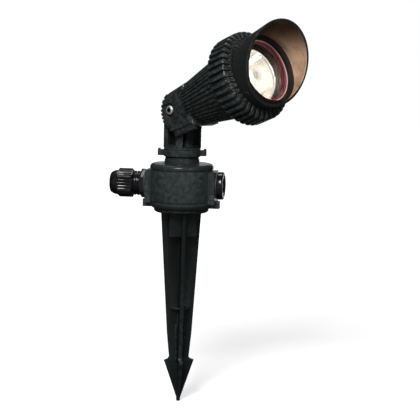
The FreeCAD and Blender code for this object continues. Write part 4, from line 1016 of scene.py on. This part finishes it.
class SPOTLIGHT_OT_fittings(Operator):
    """Dress the gland, the plug, the screws and the pieces inside the box"""
    bl_idname = "spotlight.fittings"
    bl_label = "Gland, Plug and Screws"
    bl_options = {"REGISTER", "UNDO"}

    def execute(self, context):
        dress((("gland_body", "gloss", 0.2), ("blanking_plug", "gloss", 0.3),
               ("gland_washer", "black_rubber", 0.2), ("gland_seal", "black_rubber", 0.2),
               ("plug_washer", "black_rubber", 0.2), ("swivel_seal", "black_rubber", 0.0),
               ("box_seal", "black_rubber", 0.1), ("spigot_nut", "gloss", 0.3), ("cap_screws", "zinc", 0.1),
               ("terminal_block", "nylon", 0.2), ("terminal_tubes", "brass", 0.1),
               ("terminal_screws", "zinc", 0.1), ("box_leads", "sleeve", 0.0)))
        points, faces = fluted_nut(context.scene.spotlight_fittings)
        where = hub_place(JOINTS["gland_nut_turn"])
        stands_for(new_piece("gland_nut_piece", points, faces, where, FINISH["gloss"], 32), "gland_nut")
        return {"FINISHED"}


class SPOTLIGHT_OT_stage(Operator):
    """Make the camera, the floor and the lights"""
    bl_idname = "spotlight.stage"
    bl_label = "Camera, Floor and Lights"
    bl_options = {"REGISTER", "UNDO"}

    def execute(self, context):
        stage = context.scene.spotlight_stage
        make_camera(context)
        make_floor(stage)
        make_lights(context, stage)
        return {"FINISHED"}


def make_camera(context):
    """The photograph's view: low, a little to the right, from a long lens."""
    azimuth, elevation, roll = math.radians(9), math.radians(7.5), math.radians(1.15)
    ahead = Vector((-math.sin(azimuth) * math.cos(elevation), math.cos(azimuth) * math.cos(elevation),
                    -math.sin(elevation)))
    level = Vector((math.cos(azimuth), math.sin(azimuth), 0))
    high = level.cross(ahead)
    right = level * math.cos(roll) + high * math.sin(roll)
    up = high * math.cos(roll) - level * math.sin(roll)
    off_x = (PHOTO_AIM[0] - PHOTO_WIDE / 2) / PHOTO_LENS
    off_y = -(PHOTO_AIM[1] - PHOTO_WIDE / 2) / PHOTO_LENS
    eye = AIM - (ahead + right * off_x + up * off_y) * PHOTO_LENS * PHOTO_SCALE * MM
    data = bpy.data.cameras.new("camera")
    data.sensor_width = SENSOR
    data.lens = SENSOR * PHOTO_LENS / PHOTO_WIDE
    data.clip_end = 50.0
    camera = bpy.data.objects.new("camera", data)
    camera.matrix_world = Matrix.Translation(eye) @ Matrix((right, up, -ahead)).transposed().to_4x4()
    context.scene.collection.objects.link(camera)
    context.scene.camera = camera


def mirrored_studio(tree, way, stage):
    """What glossy surfaces see: a lit screen in front, dark flags at the sides, the backdrop behind."""
    parts = node(tree, "ShaderNodeSeparateXYZ")
    feed(tree, parts, Vector=way)
    front = span(tree, parts.outputs["Y"], -0.15, -0.98, stage.flags, stage.screen)
    behind = span(tree, parts.outputs["Y"], 0.93, 0.995)
    above = span(tree, parts.outputs["Z"], 0.45, 0.95, 0.0, stage.ceiling)
    return maths(tree, "MAXIMUM", maths(tree, "MAXIMUM", front, behind), above)


def make_floor(stage):
    """A pale floor that the tip of the spike rests on, white as far as the camera sees."""
    low = CAD_BOX[0][2] / MM - 0.05
    size, steps = 4000.0, 8
    points = [(-size + 2 * size * i / steps, -size + 2 * size * j / steps, low)
              for j in range(steps + 1) for i in range(steps + 1)]
    row = steps + 1
    faces = [(j * row + i, j * row + i + 1, (j + 1) * row + i + 1, (j + 1) * row + i)
             for j in range(steps) for i in range(steps)]
    made, tree, shader = material("pale_floor")
    spot = object_spot(tree)
    path = tree.nodes.new("ShaderNodeLightPath")
    mirrored_ray = path.outputs["Is Glossy Ray"]
    seen = maths(tree, "MAXIMUM", path.outputs["Is Camera Ray"], path.outputs["Is Transmission Ray"])
    colour = tuple(stage.floor_colour)
    pale = mix_colour(tree, noise(tree, spot, 8.0, 3.0, 0.5), rgba(colour), rgba(colour, 0.985))
    shown = maths(tree, "MULTIPLY_ADD", seen, 1 - stage.bounce, stage.bounce)
    shown = maths(tree, "MULTIPLY_ADD", mirrored_ray, -0.9 * stage.bounce, shown, clamp=True)
    way = node(tree, "ShaderNodeVectorMath", operation="NORMALIZE")
    connect(tree, way.inputs[0], spot)
    mirrored = mirrored_studio(tree, way.outputs["Vector"], stage)
    seen = maths(tree, "MAXIMUM", seen, maths(tree, "MULTIPLY", mirrored_ray, mirrored))
    length = node(tree, "ShaderNodeVectorMath", operation="LENGTH")
    connect(tree, length.inputs[0], spot)
    far = span(tree, length.outputs["Value"], 0.25, 1.6, 0.42, 1.0)
    feed(tree, shader, Roughness=0.9, Specular_IOR_Level=0.0, Base_Color=mix_colour(tree, shown, BLACK, pale),
         Emission_Color=WHITE, Emission_Strength=maths(tree, "MULTIPLY", seen, far))
    floor = new_piece("floor", points, faces, Matrix.Identity(4), made)


def make_lights(context, stage):
    """A faint even sky, a large key in front and above, a small fill and a soft light behind."""
    world = bpy.data.worlds.new("studio")
    context.scene.world = world
    world.use_nodes = True
    tree = world.node_tree
    tree.nodes.clear()
    path = tree.nodes.new("ShaderNodeLightPath")
    seen = maths(tree, "MAXIMUM", path.outputs["Is Camera Ray"], path.outputs["Is Transmission Ray"])
    mirrored = mirrored_studio(tree, node(tree, "ShaderNodeTexCoord").outputs["Generated"], stage)
    mirrored = maths(tree, "MULTIPLY", path.outputs["Is Glossy Ray"], mirrored)
    direct = maths(tree, "MULTIPLY", path.outputs["Is Diffuse Ray"], stage.sky)
    back = tree.nodes.new("ShaderNodeBackground")
    level = maths(tree, "MAXIMUM", seen, maths(tree, "MAXIMUM", mirrored, direct))
    feed(tree, back, Color=WHITE, Strength=level)
    out = tree.nodes.new("ShaderNodeOutputWorld")
    tree.links.new(back.outputs[0], out.inputs["Surface"])
    for name, spot, size, part in (("key", (-0.12, -1.3, 1.1), 0.6, 1.0),
                                   ("fill", (0.95, -1.0, 0.6), 0.5, stage.fill),
                                   ("top", (-0.2, 0.5, 1.4), 0.7, stage.top)):
        data = bpy.data.lights.new(name, "AREA")
        data.shape = "DISK"
        data.size = size
        data.energy = stage.key_power * part
        lamp = bpy.data.objects.new(name, data)
        lamp.location = spot
        lamp.rotation_euler = (LIT - Vector(spot)).to_track_quat("-Z", "Y").to_euler()
        context.scene.collection.objects.link(lamp)
    context.scene.view_settings.view_transform = "Standard"


# ---- panel and registration
BUILD_ORDER = (SPOTLIGHT_OT_finishes, SPOTLIGHT_OT_casing, SPOTLIGHT_OT_spike, SPOTLIGHT_OT_housing,
               SPOTLIGHT_OT_front_cap, SPOTLIGHT_OT_glass, SPOTLIGHT_OT_lamp, SPOTLIGHT_OT_pivot_screws,
               SPOTLIGHT_OT_fittings, SPOTLIGHT_OT_stage)


class SPOTLIGHT_PT_panel(Panel):
    """Lists the sizes and the pieces of the spotlight"""
    bl_idname = "SPOTLIGHT_PT_panel"
    bl_label = "Garden Spotlight"
    bl_space_type = "VIEW_3D"
    bl_region_type = "UI"
    bl_category = "Spotlight"

    def draw(self, context):
        for group in settings(context):
            column = self.layout.column(align=True)
            for name in group.__annotations__:
                column.prop(group, name)
        column = self.layout.column(align=True)
        for operator in BUILD_ORDER:
            column.operator(operator.bl_idname)


CLASSES = (HeadSizes, FittingSizes, Finishes, StageSettings) + BUILD_ORDER + (SPOTLIGHT_PT_panel,)


def register():
    for made in CLASSES:
        bpy.utils.register_class(made)
    bpy.types.Scene.spotlight_head = PointerProperty(type=HeadSizes)
    bpy.types.Scene.spotlight_fittings = PointerProperty(type=FittingSizes)
    bpy.types.Scene.spotlight_finish = PointerProperty(type=Finishes)
    bpy.types.Scene.spotlight_stage = PointerProperty(type=StageSettings)


def unregister():
    del bpy.types.Scene.spotlight_stage
    del bpy.types.Scene.spotlight_finish
    del bpy.types.Scene.spotlight_fittings
    del bpy.types.Scene.spotlight_head
    for made in reversed(CLASSES):
        bpy.utils.unregister_class(made)


def main():
    register()
    for operator in BUILD_ORDER:
        group, name = operator.bl_idname.split(".")
        getattr(getattr(bpy.ops, group), name)()


if __name__ == "__main__":
    main()
